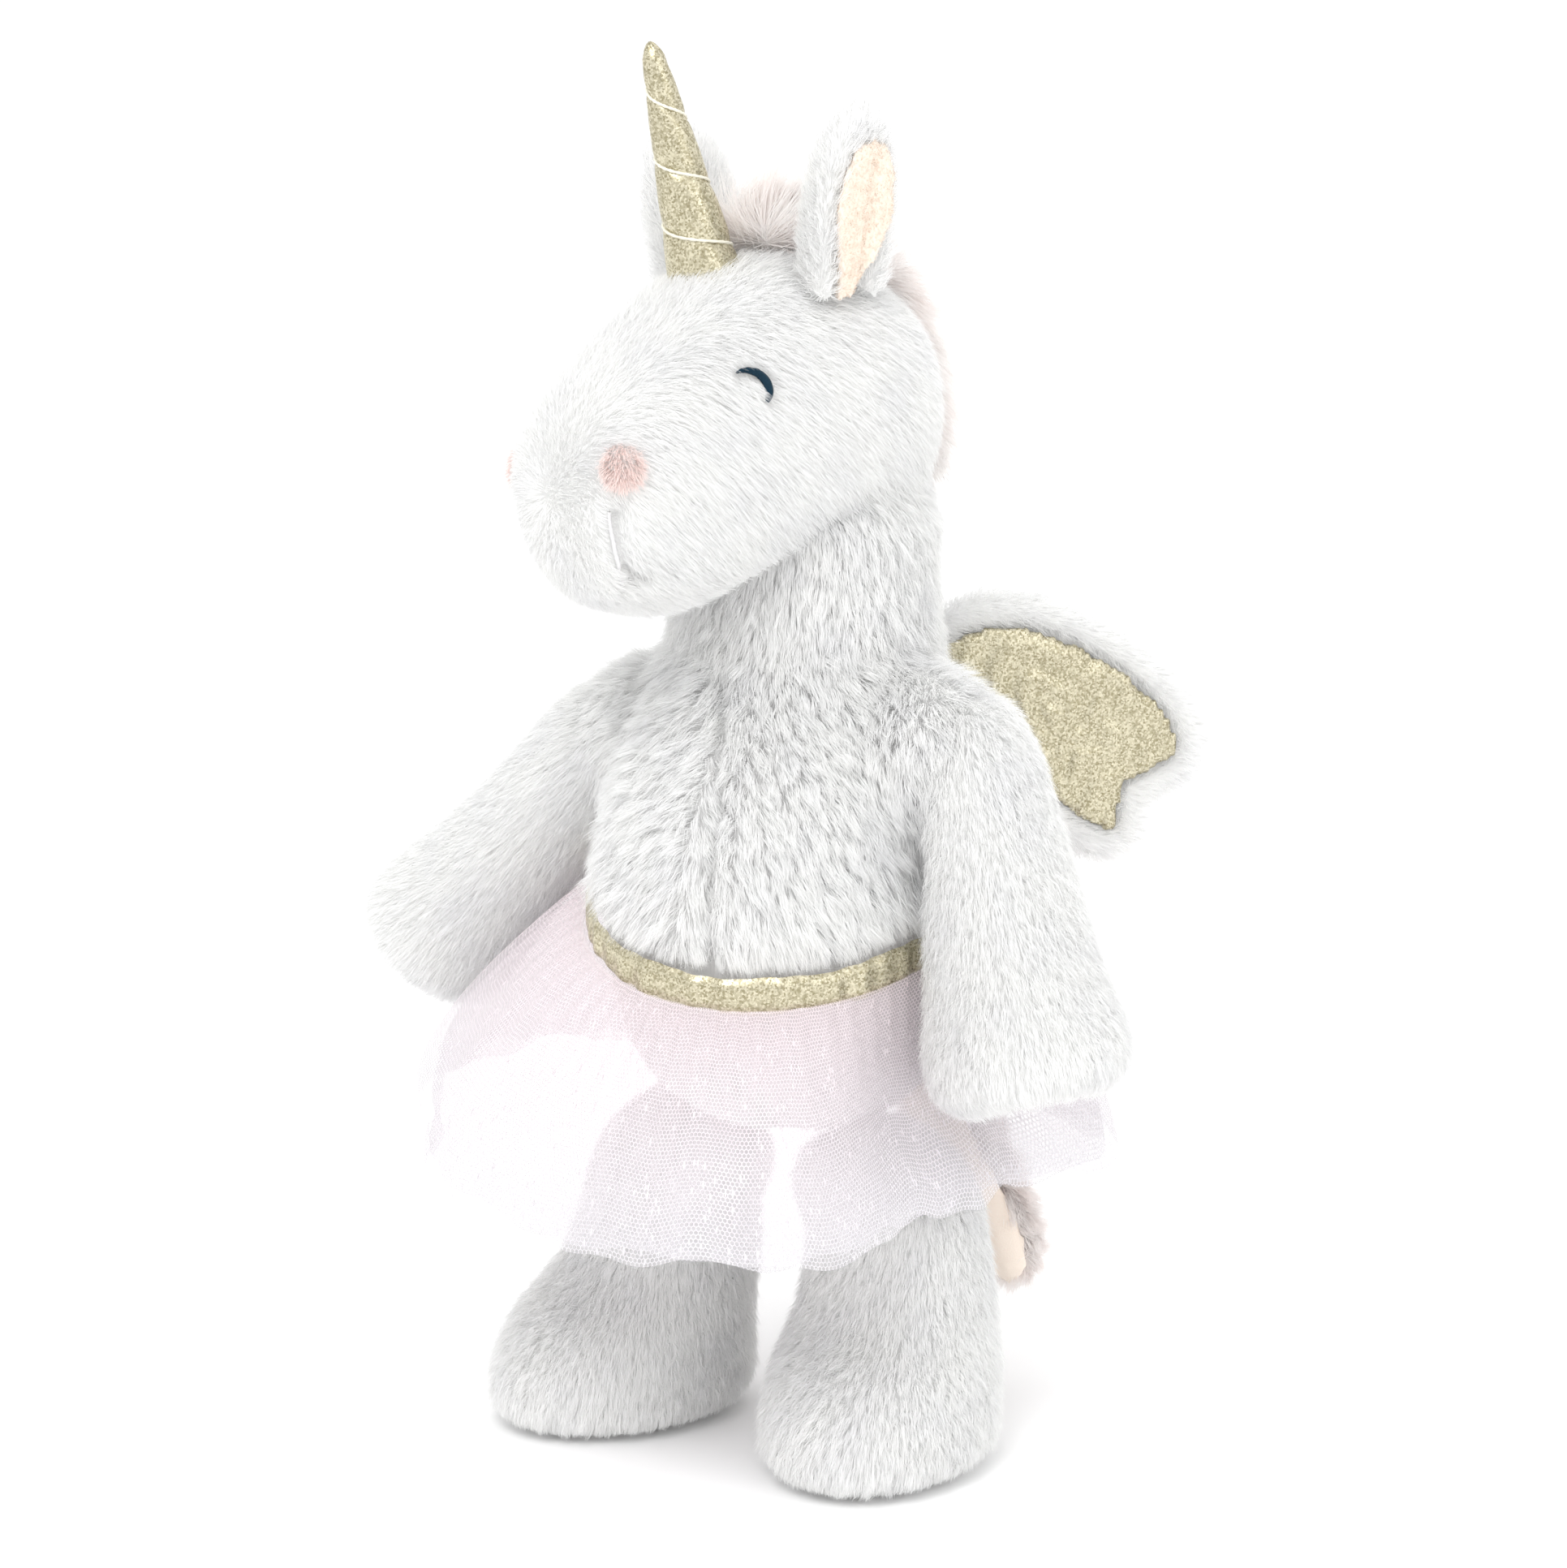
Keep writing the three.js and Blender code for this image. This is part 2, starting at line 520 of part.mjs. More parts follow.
// The room that the body needs beside a swinging arm: a bell about the shoulder's own axis.
function shoulderRoom(side, drop, matrix) {
  const reach = SHOULDER_Z - TORSO_BOTTOM + 8;
  const profile = [
    new THREE.Vector2(0, 0),
    new THREE.Vector2(reach, 0),
    new THREE.Vector2(reach, BELLY_HALF_WIDTH + SKIRT_STANDOFF + 1.4),
    new THREE.Vector2(34, BELLY_HALF_WIDTH + SKIRT_STANDOFF + 1.2),
    new THREE.Vector2(16, BELLY_HALF_WIDTH - 1.5),
    new THREE.Vector2(0, BELLY_HALF_WIDTH - 4),
  ];
  const bell = new THREE.LatheGeometry(profile, 20);
  const turn = new THREE.Matrix4().makeRotationZ(-side * Math.PI / 2);
  turn.setPosition(0, SHOULDER_Y, SHOULDER_Z - drop);
  return solid(bell, matrix.clone().multiply(turn));
}

function addArm(label, side, splay, forward, drop) {
  const arm = new THREE.Group();
  arm.position.set(side * SHOULDER_X, SHOULDER_Y, SHOULDER_Z - drop);
  arm.rotation.set(radians(-forward), radians(-side * splay), 0);
  torso.add(arm);
  unicorn.updateMatrixWorld(true);
  const room = shoulderRoom(side, drop, arm.matrixWorld.clone().invert());
  const padTool = new THREE.CylinderGeometry(PAD_RADIUS + GAP, PAD_RADIUS + GAP, PLUSH * 3, 16);
  padTool.rotateX(Math.PI / 2);
  padTool.translate(0, 0, -ARM_LENGTH);
  const hollow = solid(armForm).subtract(solid(grown(armForm, -PLUSH)));
  const skin = hollow.subtract(solid(padTool)).subtract(room);
  const outer = block(seam, 60, -60, 60, -150, 60);
  const inner = block(-60, -seam, -60, 60, -150, 60);
  addPiece(arm, "arm_outer_" + label, skin.intersect(side > 0 ? outer : inner), WHITE_PLUSH);
  addPiece(arm, "arm_inner_" + label, skin.intersect(side > 0 ? inner : outer), WHITE_PLUSH);
  const pad = new THREE.CylinderGeometry(PAD_RADIUS, PAD_RADIUS, FELT, 16);
  pad.rotateX(Math.PI / 2);
  pad.translate(0, 0, -ARM_LENGTH + PAD_RECESS + FELT / 2);
  addPiece(arm, "arm_pad_" + label, solid(pad), WHITE_PLUSH);
  const padRoom = block(-60, 60, -60, 60, -ARM_LENGTH - 9, -ARM_LENGTH + PAD_RECESS + FELT + GAP);
  const shoulderEnd = block(-60, 60, -60, 60, -ARM_LENGTH, ARM_RADIUS * 0.9 - PLUSH - 3);
  const armCore = solid(grown(armForm, -PLUSH - 2 * GAP)).intersect(shoulderEnd);
  const fill = armCore.subtract(padRoom).subtract(room);
  addPiece(arm, "arm_stuffing_" + label, fill, FIBRE);
}
addArm("left", 1, 18, 8, 0);
addArm("right", -1, 44, 3, 6);

// ---- legs: a leg's own frame has the hip over the origin, on the ground ----
const legStation = (z, wide, deep, y) => ({ at: vec(0, y, z), wide, deep });
const legForm = softForm(
  [
    legStation(0, FOOT_HALF_WIDTH - 4, FOOT_HALF_LENGTH - 5, -FOOT_FORWARD),
    legStation(5, FOOT_HALF_WIDTH - 0.5, FOOT_HALF_LENGTH - 1, -FOOT_FORWARD),
    legStation(15, FOOT_HALF_WIDTH, FOOT_HALF_LENGTH, -FOOT_FORWARD),
    legStation(27, FOOT_HALF_WIDTH - 0.5, FOOT_HALF_LENGTH - 3, -FOOT_FORWARD + 2),
    legStation(38, FOOT_HALF_WIDTH - 2, FOOT_HALF_LENGTH - 9, -FOOT_FORWARD + 8),
    legStation(50, LEG_RADIUS, LEG_RADIUS + 1, 0),
    legStation(68, LEG_RADIUS - 0.5, LEG_RADIUS, 0),
    legStation(HIP_Z, LEG_RADIUS, LEG_RADIUS, 0),
    legStation(HIP_Z + LEG_RADIUS, LEG_RADIUS - 1, LEG_RADIUS - 1, 0),
  ],
  { side: vec(-1, 0, 0), ahead: vec(0, 1, 0), along: 9, around: 14, domes: [0, 0.2] },
);

function addLeg(label, side, toeOut) {
  const leg = new THREE.Group();
  leg.position.set(side * HIP_X, 0, 0);
  leg.rotation.z = radians(side * toeOut);
  torso.add(leg);
  const skin = solid(legForm).subtract(solid(grown(legForm, -PLUSH)));
  const over = block(seam, 80, -80, 80, SOLE_THICKNESS + GAP, 150);
  const under = block(-80, -seam, -80, 80, SOLE_THICKNESS + GAP, 150);
  addPiece(leg, "leg_outer_" + label, skin.intersect(side > 0 ? over : under), WHITE_PLUSH);
  addPiece(leg, "leg_inner_" + label, skin.intersect(side > 0 ? under : over), WHITE_PLUSH);
  const soleZone = block(-80, 80, -80, 80, -1, SOLE_THICKNESS);
  addPiece(leg, "leg_sole_" + label, solid(legForm).intersect(soleZone), WHITE_PLUSH);
  const fillZone = block(-80, 80, -80, 80, PLUSH + 3, HIP_Z + LEG_RADIUS - PLUSH - 3);
  const fill = solid(grown(legForm, -PLUSH - 2 * GAP)).intersect(fillZone);
  addPiece(leg, "leg_stuffing_" + label, fill, FIBRE);
}
addLeg("left", 1, 4);
addLeg("right", -1, 24);

// ---- wings: a wing's own frame has its root on the Z axis, spanning along +X, gold face to -Y ----
// The outline moved in by a distance, corner by corner.
function insetOutline(points, distance) {
  const count = points.length;
  return points.map((point, i) => {
    const before = points[(i + count - 1) % count];
    const after = points[(i + 1) % count];
    const along = after.clone().sub(before).normalize();
    return new THREE.Vector2(point.x + along.y * distance, point.y - along.x * distance);
  });
}

function wingShape(inset) {
  const s = WING_SPAN / 88;
  const shape = new THREE.Shape();
  shape.moveTo(0, 4 * s);
  shape.bezierCurveTo(12 * s, 18 * s, 30 * s, 20 * s, 52 * s, 9 * s);
  shape.bezierCurveTo(70 * s, 0, 88 * s, -16 * s, 88 * s, -28 * s);
  shape.bezierCurveTo(88 * s, -42 * s, 80 * s, -45 * s, 70 * s, -46 * s);
  shape.bezierCurveTo(73 * s, -56 * s, 66 * s, -66 * s, 54 * s, -63 * s);
  shape.bezierCurveTo(34 * s, -52 * s, 16 * s, -36 * s, 0, -28 * s);
  const outline = shape.getPoints(4);
  return new THREE.Shape(inset ? insetOutline(outline, inset) : outline);
}

function wingSlab(inset, y0, y1, bevel) {
  const slab = new THREE.ExtrudeGeometry(wingShape(inset), {
    depth: y1 - y0 - 2 * bevel,
    bevelEnabled: bevel > 0,
    bevelThickness: bevel,
    bevelSize: bevel,
    bevelOffset: -bevel,
    bevelSegments: 1,
    curveSegments: 3,
  });
  slab.rotateX(Math.PI / 2);
  slab.translate(0, y1 - bevel, 0);
  return slab;
}

for (const [label, side] of SIDES) {
  const wing = new THREE.Group();
  wing.position.set(side * WING_ROOT_X, WING_ROOT_Y, WING_ROOT_Z);
  wing.rotation.z = radians(side * WING_SWEEP);
  torso.add(wing);
  const mirror = new THREE.Matrix4().makeScale(side, 1, 1);
  const flipped = (geometry) => solid(geometry, mirror);
  const half = WING_THICKNESS / 2;
  const pocket = flipped(wingSlab(WING_RIM, -half - 1, half - 2.5, 0));
  addPiece(wing, "wing_plush_" + label, flipped(wingSlab(0, -half, half, 3)).subtract(pocket), WHITE_PLUSH);
  const gold = flipped(wingSlab(WING_RIM + 2 * GAP, -half + 0.6, -half + 0.6 + FELT, 0));
  addPiece(wing, "wing_gold_" + label, gold, GOLD);
  const wadding = flipped(wingSlab(WING_RIM + 2 * GAP, -half + 0.6 + FELT + GAP, half - 2.5 - GAP, 0));
  addPiece(wing, "wing_wadding_" + label, wadding, FIBRE);
}

// ---- tail ----
const tailStation = (x, y, z, radius) => ({ at: vec(x, y, z), wide: radius, deep: radius });
const tailForm = softForm(
  [
    tailStation(2, 58, TAIL_ROOT_Z, TAIL_RADIUS - 6),
    tailStation(7, 67, TAIL_ROOT_Z - 18, TAIL_RADIUS - 3),
    tailStation(16, 74, TAIL_ROOT_Z - 42, TAIL_RADIUS),
    tailStation(27, 77, TAIL_ROOT_Z - 67, TAIL_RADIUS),
    tailStation(35, 79, TAIL_ROOT_Z - 92, TAIL_RADIUS - 2),
  ],
  { side: vec(-1, 0, 0), ahead: vec(0, 1, 0), along: 8, around: 12, domes: [0.12, 0.2] },
);
const tail = new THREE.Group();
torso.add(tail);
const tailFace = new THREE.Matrix4().makeRotationX(radians(12));
tailFace.setPosition(0, 69, TAIL_ROOT_Z - 40);
const tailFront = block(-60, 60, seam, 60, -90, 90, tailFace);
addPiece(tail, "tail_plush", solid(tailForm).intersect(tailFront), MANE_PLUSH);
const tailBack = block(-60, 60, -60, -seam, -90, 90, tailFace);
addPiece(tail, "tail_backing", solid(tailForm).intersect(tailBack), PEACH);

// The origin is on the ground, under the middle of the whole figure.
const middle = new THREE.Box3().setFromObject(unicorn, true).getCenter(vec(0, 0, 0));
unicorn.position.set(-middle.x, -middle.y, 0);
const part = new THREE.Group();
part.add(unicorn);

export default part;
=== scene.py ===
import math
import bpy
import numpy as np
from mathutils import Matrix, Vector
from mathutils.bvhtree import BVHTree
from mathutils.kdtree import KDTree


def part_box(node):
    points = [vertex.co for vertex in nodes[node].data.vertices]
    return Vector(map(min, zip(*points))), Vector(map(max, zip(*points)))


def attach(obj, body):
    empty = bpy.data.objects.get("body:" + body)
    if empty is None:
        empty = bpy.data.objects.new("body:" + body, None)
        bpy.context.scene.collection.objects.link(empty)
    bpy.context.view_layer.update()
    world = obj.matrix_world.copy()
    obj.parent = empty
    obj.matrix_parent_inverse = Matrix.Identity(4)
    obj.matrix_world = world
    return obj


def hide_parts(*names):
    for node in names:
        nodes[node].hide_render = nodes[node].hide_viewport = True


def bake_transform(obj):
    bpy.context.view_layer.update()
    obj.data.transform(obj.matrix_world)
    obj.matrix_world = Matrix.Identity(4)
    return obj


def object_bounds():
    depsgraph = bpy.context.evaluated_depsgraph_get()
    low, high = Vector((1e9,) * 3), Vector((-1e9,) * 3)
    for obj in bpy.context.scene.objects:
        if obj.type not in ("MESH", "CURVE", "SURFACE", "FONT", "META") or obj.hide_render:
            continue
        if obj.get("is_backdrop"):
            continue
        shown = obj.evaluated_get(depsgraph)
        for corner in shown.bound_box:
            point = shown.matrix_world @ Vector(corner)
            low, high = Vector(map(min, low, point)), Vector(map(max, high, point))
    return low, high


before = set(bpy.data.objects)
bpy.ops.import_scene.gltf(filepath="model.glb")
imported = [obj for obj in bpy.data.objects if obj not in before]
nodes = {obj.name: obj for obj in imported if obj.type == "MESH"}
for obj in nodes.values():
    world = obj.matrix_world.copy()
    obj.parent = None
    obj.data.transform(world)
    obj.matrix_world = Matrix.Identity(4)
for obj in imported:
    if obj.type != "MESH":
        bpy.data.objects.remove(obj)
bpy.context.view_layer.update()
scene = bpy.context.scene
MM = 0.001

# ---------------------------------------------------------------- sizes, in millimetres
FUR = 6.5                       # pile of the white plush
FUR_WIDTH = 0.24
FUR_DENSITY = 4.0               # strands on a square millimetre
AXIS = (14.35, -12.04)          # the body's upright axis
BELLY = (51.0, 60.0)
BAND_Z = 160.0
BAND_HEIGHT = 10.0
BAND_TILT = math.tan(math.radians(14))
BAND_ROLL = math.tan(math.radians(7))
HEM_Z = 79.0
HEM_LIFT = 18.0
SKIRT_FLARE = 45.0
HORN_TIP = 75.0
HORN_PITCH = 18.5
HORN_WRAP_Z = 40.0
HORN_BASE_RADIUS = 11.4
HORN_TIP_RADIUS = 2.7
SHOULDER = {"left": (71.35, -9.04, 204), "right": (-42.65, -9.04, 198)}
ARM_WAY = {"left": (0.309, -0.132, -0.942), "right": (-0.695, -0.038, -0.718)}

# ---------------------------------------------------------------- the studio, in metres and watts
CAMERA_PLACE = (0.65014, -1.11327, 0.46128)
CAMERA_AIM = (0.01435, -0.01204, 0.191)
CAMERA_LENS = 104.7
CAMERA_SENSOR = 36.0
WORLD_STRENGTH = 1.07


def unit(v):
    v = np.asarray(v, float)
    return v / np.maximum(np.linalg.norm(v, axis=-1, keepdims=True), 1e-9)


class Place:
    """A local frame: its origin and its X axis (left), Y axis (back) and Z axis (up)."""

    def __init__(self, origin, x, z):
        self.o = np.array(origin, float)
        self.z = unit(z)
        self.x = unit(np.array(x, float) - np.dot(x, self.z) * self.z)
        self.y = np.cross(self.z, self.x)

    def out(self, p):
        p = np.asarray(p, float)
        return self.o + p[..., :1] * self.x + p[..., 1:2] * self.y + p[..., 2:3] * self.z

    def into(self, p):
        d = np.asarray(p, float) - self.o
        return np.stack([d @ self.x, d @ self.y, d @ self.z], -1)


HEAD = Place((-3.09, -47.97, 313), (0.935, -0.340, 0.105), (-0.098, 0.036, 0.995))
HORN = Place((2.03, -29.61, 326.92), (0.935, -0.340, 0.105), (-0.167, -0.160, 0.973))
EARS = {
    "left": Place((38.58, -20.56, 326.19), (0.246, 0.968, -0.046), (0.096, 0.023, 0.995)),
    "right": Place((-19.37, 0.52, 319.70), (-0.441, -0.897, 0.024), (-0.252, 0.149, 0.956)),
}


# ---------------------------------------------------------------- meshes
def mesh_object(name, verts, faces, looks, smooth=True):
    """verts in millimetres; faces as one array of equal rows, or a list of such arrays."""
    groups = faces if isinstance(faces, list) else [faces]
    groups = [np.asarray(g, np.int32) for g in groups if len(g)]
    me = bpy.data.meshes.new(name)
    verts = np.asarray(verts, float) * MM
    me.vertices.add(len(verts))
    me.vertices.foreach_set("co", verts.astype(np.float32).ravel())
    sizes = np.concatenate([np.full(len(g), g.shape[1], np.int32) for g in groups])
    loops = np.concatenate([g.ravel() for g in groups])
    me.loops.add(len(loops))
    me.loops.foreach_set("vertex_index", loops)
    me.polygons.add(len(sizes))
    starts = np.concatenate([[0], np.cumsum(sizes)[:-1]]).astype(np.int32)
    me.polygons.foreach_set("loop_start", starts)
    me.update(calc_edges=True)
    me.validate()
    me.polygons.foreach_set("use_smooth", np.full(len(me.polygons), smooth))
    me.materials.append(looks)
    made = bpy.data.objects.new(name, me)
    scene.collection.objects.link(made)
    return made


def points_of(obj):
    co = np.zeros(len(obj.data.vertices) * 3, np.float32)
    obj.data.vertices.foreach_get("co", co)
    return co.reshape(-1, 3).astype(float) / MM


def set_points(obj, p):
    obj.data.vertices.foreach_set("co", (p * MM).astype(np.float32).ravel())
    obj.data.update()


def normals_of(obj):
    n = np.zeros(len(obj.data.vertices) * 3, np.float32)
    obj.data.vertices.foreach_get("normal", n)
    return n.reshape(-1, 3).astype(float)


def apply_modifiers(obj):
    dg = bpy.context.evaluated_depsgraph_get()
    made = bpy.data.meshes.new_from_object(obj.evaluated_get(dg))
    obj.modifiers.clear()
    obj.data = made


def largest_part(obj):
    """Keeps the connected part with the biggest box."""
    me = obj.data
    edges = np.zeros(len(me.edges) * 2, np.int32)
    me.edges.foreach_get("vertices", edges)
    edges = edges.reshape(-1, 2)
    label = np.arange(len(me.vertices))
    while True:
        low = np.minimum(label[edges[:, 0]], label[edges[:, 1]])
        new = label.copy()
        np.minimum.at(new, edges[:, 0], low)
        np.minimum.at(new, edges[:, 1], low)
        new = new[new]
        if (new == label).all():
            break
        label = new
    p = points_of(obj)
    best, size = None, -1
    for k in np.unique(label):
        q = p[label == k]
        spread = float(np.prod(np.ptp(q, axis=0) + 0.1))
        if spread > size:
            best, size = k, spread
    keep = label == best
    if keep.all():
        return
    index = np.cumsum(keep) - 1
    faces = [tuple(index[v] for v in poly.vertices) for poly in me.polygons if keep[poly.vertices[0]]]
    made = bpy.data.meshes.new(me.name)
    made.from_pydata((p[keep] * MM).tolist(), [], faces)
    obj.data = made


def ring_quads(rings, around):
    """The faces between closed rings of vertices, one ring after another."""
    i, j = np.meshgrid(np.arange(rings - 1), np.arange(around), indexing="ij")
    return np.stack([i * around + j, i * around + (j + 1) % around,
                     (i + 1) * around + (j + 1) % around, (i + 1) * around + j], -1).reshape(-1, 4)


def ball(centre, radii, rings=24, around=40):
    """The vertices and faces of a closed ellipsoid."""
    verts = [np.array([0, 0, radii[2]])]
    for i in range(1, rings):
        a = math.pi * i / rings
        for j in range(around):
            b = 2 * math.pi * j / around
            verts.append(np.array([radii[0] * math.sin(a) * math.cos(b), radii[1] * math.sin(a) * math.sin(b),
                                   radii[2] * math.cos(a)]))
    verts.append(np.array([0, 0, -radii[2]]))
    last = len(verts) - 1
    faces = []
    for j in range(around):
        k = (j + 1) % around
        faces.append((0, 1 + j, 1 + k))
        for i in range(rings - 2):
            low, high = 1 + i * around, 1 + (i + 1) * around
            faces.append((low + j, high + j, high + k))
            faces.append((low + j, high + k, low + k))
        low = 1 + (rings - 2) * around
        faces.append((low + j, last, low + k))
    return np.array(verts) + np.array(centre, float), np.array(faces)


def skin(name, members, looks, voxel, inset=0.0, smooth=6, levels=1, shape=None, forms=()):
    """One closed cloth skin over several CAD solids: remeshed as one, smoothed, drawn in, subdivided."""
    verts, faces, base = [], [], 0
    for n in members:
        p = points_of(nodes[n])
        nodes[n].data.calc_loop_triangles()
        t = np.zeros(len(nodes[n].data.loop_triangles) * 3, np.int32)
        nodes[n].data.loop_triangles.foreach_get("vertices", t)
        verts.append(p)
        faces.append(t.reshape(-1, 3) + base)
        base += len(p)
    for v, f in forms:
        verts.append(v)
        faces.append(f + base)
        base += len(v)
    made = mesh_object(name, np.concatenate(verts), np.concatenate(faces), looks)
    step = made.modifiers.new("remesh", "REMESH")
    step.mode = "VOXEL"
    step.voxel_size = voxel * MM
    step.use_smooth_shade = True
    apply_modifiers(made)
    largest_part(made)
    step = made.modifiers.new("smooth", "SMOOTH")
    step.factor, step.iterations = 0.5, smooth
    apply_modifiers(made)
    if inset:
        set_points(made, points_of(made) - normals_of(made) * inset)
    if shape:
        set_points(made, shape(points_of(made), normals_of(made)))
    if levels:
        step = made.modifiers.new("subdivide", "SUBSURF")
        step.levels = step.render_levels = levels
        apply_modifiers(made)
    made.data.polygons.foreach_set("use_smooth", np.full(len(made.data.polygons), True))
    made.data.materials.clear()
    made.data.materials.append(looks)
    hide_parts(*members)
    return made


# ---------------------------------------------------------------- materials
def material(name, colour, rough=0.9, metallic=0.0, sheen=0.0, specular=0.3):
    m = bpy.data.materials.new(name)
    m.use_nodes = True
    b = m.node_tree.nodes["Principled BSDF"]
    b.inputs["Base Color"].default_value = (*colour, 1)
    b.inputs["Roughness"].default_value = rough
    b.inputs["Metallic"].default_value = metallic
    b.inputs["Sheen Weight"].default_value = sheen
    b.inputs["Sheen Roughness"].default_value = 0.4
    b.inputs["Specular IOR Level"].default_value = specular
    return m, m.node_tree, b


def node(tree, kind, **values):
    made = tree.nodes.new(kind)
    for key, value in values.items():
        if key in made.inputs:
            made.inputs[key].default_value = value
        else:
            setattr(made, key, value)
    return made


def maths(tree, operation, a, b=None, clamp=False):
    made = tree.nodes.new("ShaderNodeMath")
    made.operation = operation
    made.use_clamp = clamp
    for slot, value in zip(made.inputs, (a, b)):
        if value is None:
            continue
        if isinstance(value, (int, float)):
            slot.default_value = value
        else:
            tree.links.new(value, slot)
    return made.outputs[0]


def two_tone(tree, target, factor, first, second):
    mix = tree.nodes.new("ShaderNodeMix")
    mix.data_type = "RGBA"
    colours = [s for s in mix.inputs if s.type == "RGBA"]
    colours[0].default_value = (*first, 1)
    colours[1].default_value = (*second, 1)
    tree.links.new(factor, mix.inputs[0])
    tree.links.new([s for s in mix.outputs if s.type == "RGBA"][0], target)


def noise(tree, scale, detail=3.0):
    coordinates = node(tree, "ShaderNodeTexCoord")
    made = node(tree, "ShaderNodeTexNoise", Scale=scale, Detail=detail)
    tree.links.new(coordinates.outputs["Object"], made.inputs["Vector"])
    return made.outputs[0]


def lit_through(tree, b, share):
    """Thin cloth and pile also pass light: a share of the surface is lit from behind."""
    through = tree.nodes.new("ShaderNodeBsdfTranslucent")
    mix = tree.nodes.new("ShaderNodeMixShader")
    mix.inputs[0].default_value = share
    colour = b.inputs["Base Color"]
    if colour.is_linked:
        tree.links.new(colour.links[0].from_socket, through.inputs["Color"])
    else:
        through.inputs["Color"].default_value = colour.default_value
    out = [n for n in tree.nodes if n.type == "OUTPUT_MATERIAL"][0]
    tree.links.new(b.outputs[0], mix.inputs[1])
    tree.links.new(through.outputs[0], mix.inputs[2])
    tree.links.new(mix.outputs[0], out.inputs["Surface"])
    return mix


def plush(name, light, dark, grain=70.0):
    """Pile: the colour drifts over the cloth in soft clumps, and from strand to strand."""
    m, tree, b = material(name, light, rough=0.95, sheen=0.3, specular=0.1)
    strand = node(tree, "ShaderNodeAttribute", attribute_name="shade")
    drift = maths(tree, "MULTIPLY", maths(tree, "SUBTRACT", noise(tree, grain), 0.5), 2.2)
    both = maths(tree, "ADD", drift, maths(tree, "MULTIPLY", strand.outputs["Fac"], 0.5), clamp=True)
    two_tone(tree, b.inputs["Base Color"], both, light, dark)
    lit_through(tree, b, 0.5)
    return m


def lame(name, light, dark):
    """Metal thread woven over and under; its sparkling floats are painted glints, cells set to the lightest
    colour.
    """
    m, tree, b = material(name, light, rough=0.34, metallic=0.75, specular=0.5)
    coordinates = node(tree, "ShaderNodeTexCoord")
    cells = node(tree, "ShaderNodeTexVoronoi", Scale=1900.0)
    tree.links.new(coordinates.outputs["Object"], cells.inputs["Vector"])
    split = node(tree, "ShaderNodeSeparateColor")
    tree.links.new(cells.outputs["Color"], split.inputs["Color"])
    # painted glints: about one cell in seven is set to the lightest gold
    painted_glint = maths(tree, "GREATER_THAN", split.outputs["Red"], 0.86)
    tone = maths(tree, "MULTIPLY", split.outputs["Green"], 0.9)
    tone = maths(tree, "MULTIPLY", tone, maths(tree, "SUBTRACT", 1.0, painted_glint))
    two_tone(tree, b.inputs["Base Color"], tone, light, dark)
    tree.links.new(maths(tree, "ADD", maths(tree, "MULTIPLY", split.outputs["Blue"], 0.3), 0.22),
                   b.inputs["Roughness"])
    bump = node(tree, "ShaderNodeBump", Strength=0.7, Distance=0.0003)
    tree.links.new(split.outputs["Green"], bump.inputs["Height"])
    tree.links.new(bump.outputs["Normal"], b.inputs["Normal"])
    return m


def woven(name, light, dark, scale=1800.0, sheen=0.3):
    m, tree, b = material(name, light, rough=0.85, sheen=sheen, specular=0.2)
    fine = noise(tree, scale, 2.0)
    two_tone(tree, b.inputs["Base Color"], fine, light, dark)
    bump = node(tree, "ShaderNodeBump", Strength=0.4, Distance=0.0003)
    tree.links.new(fine, bump.inputs["Height"])
    tree.links.new(bump.outputs["Normal"], b.inputs["Normal"])
    return m


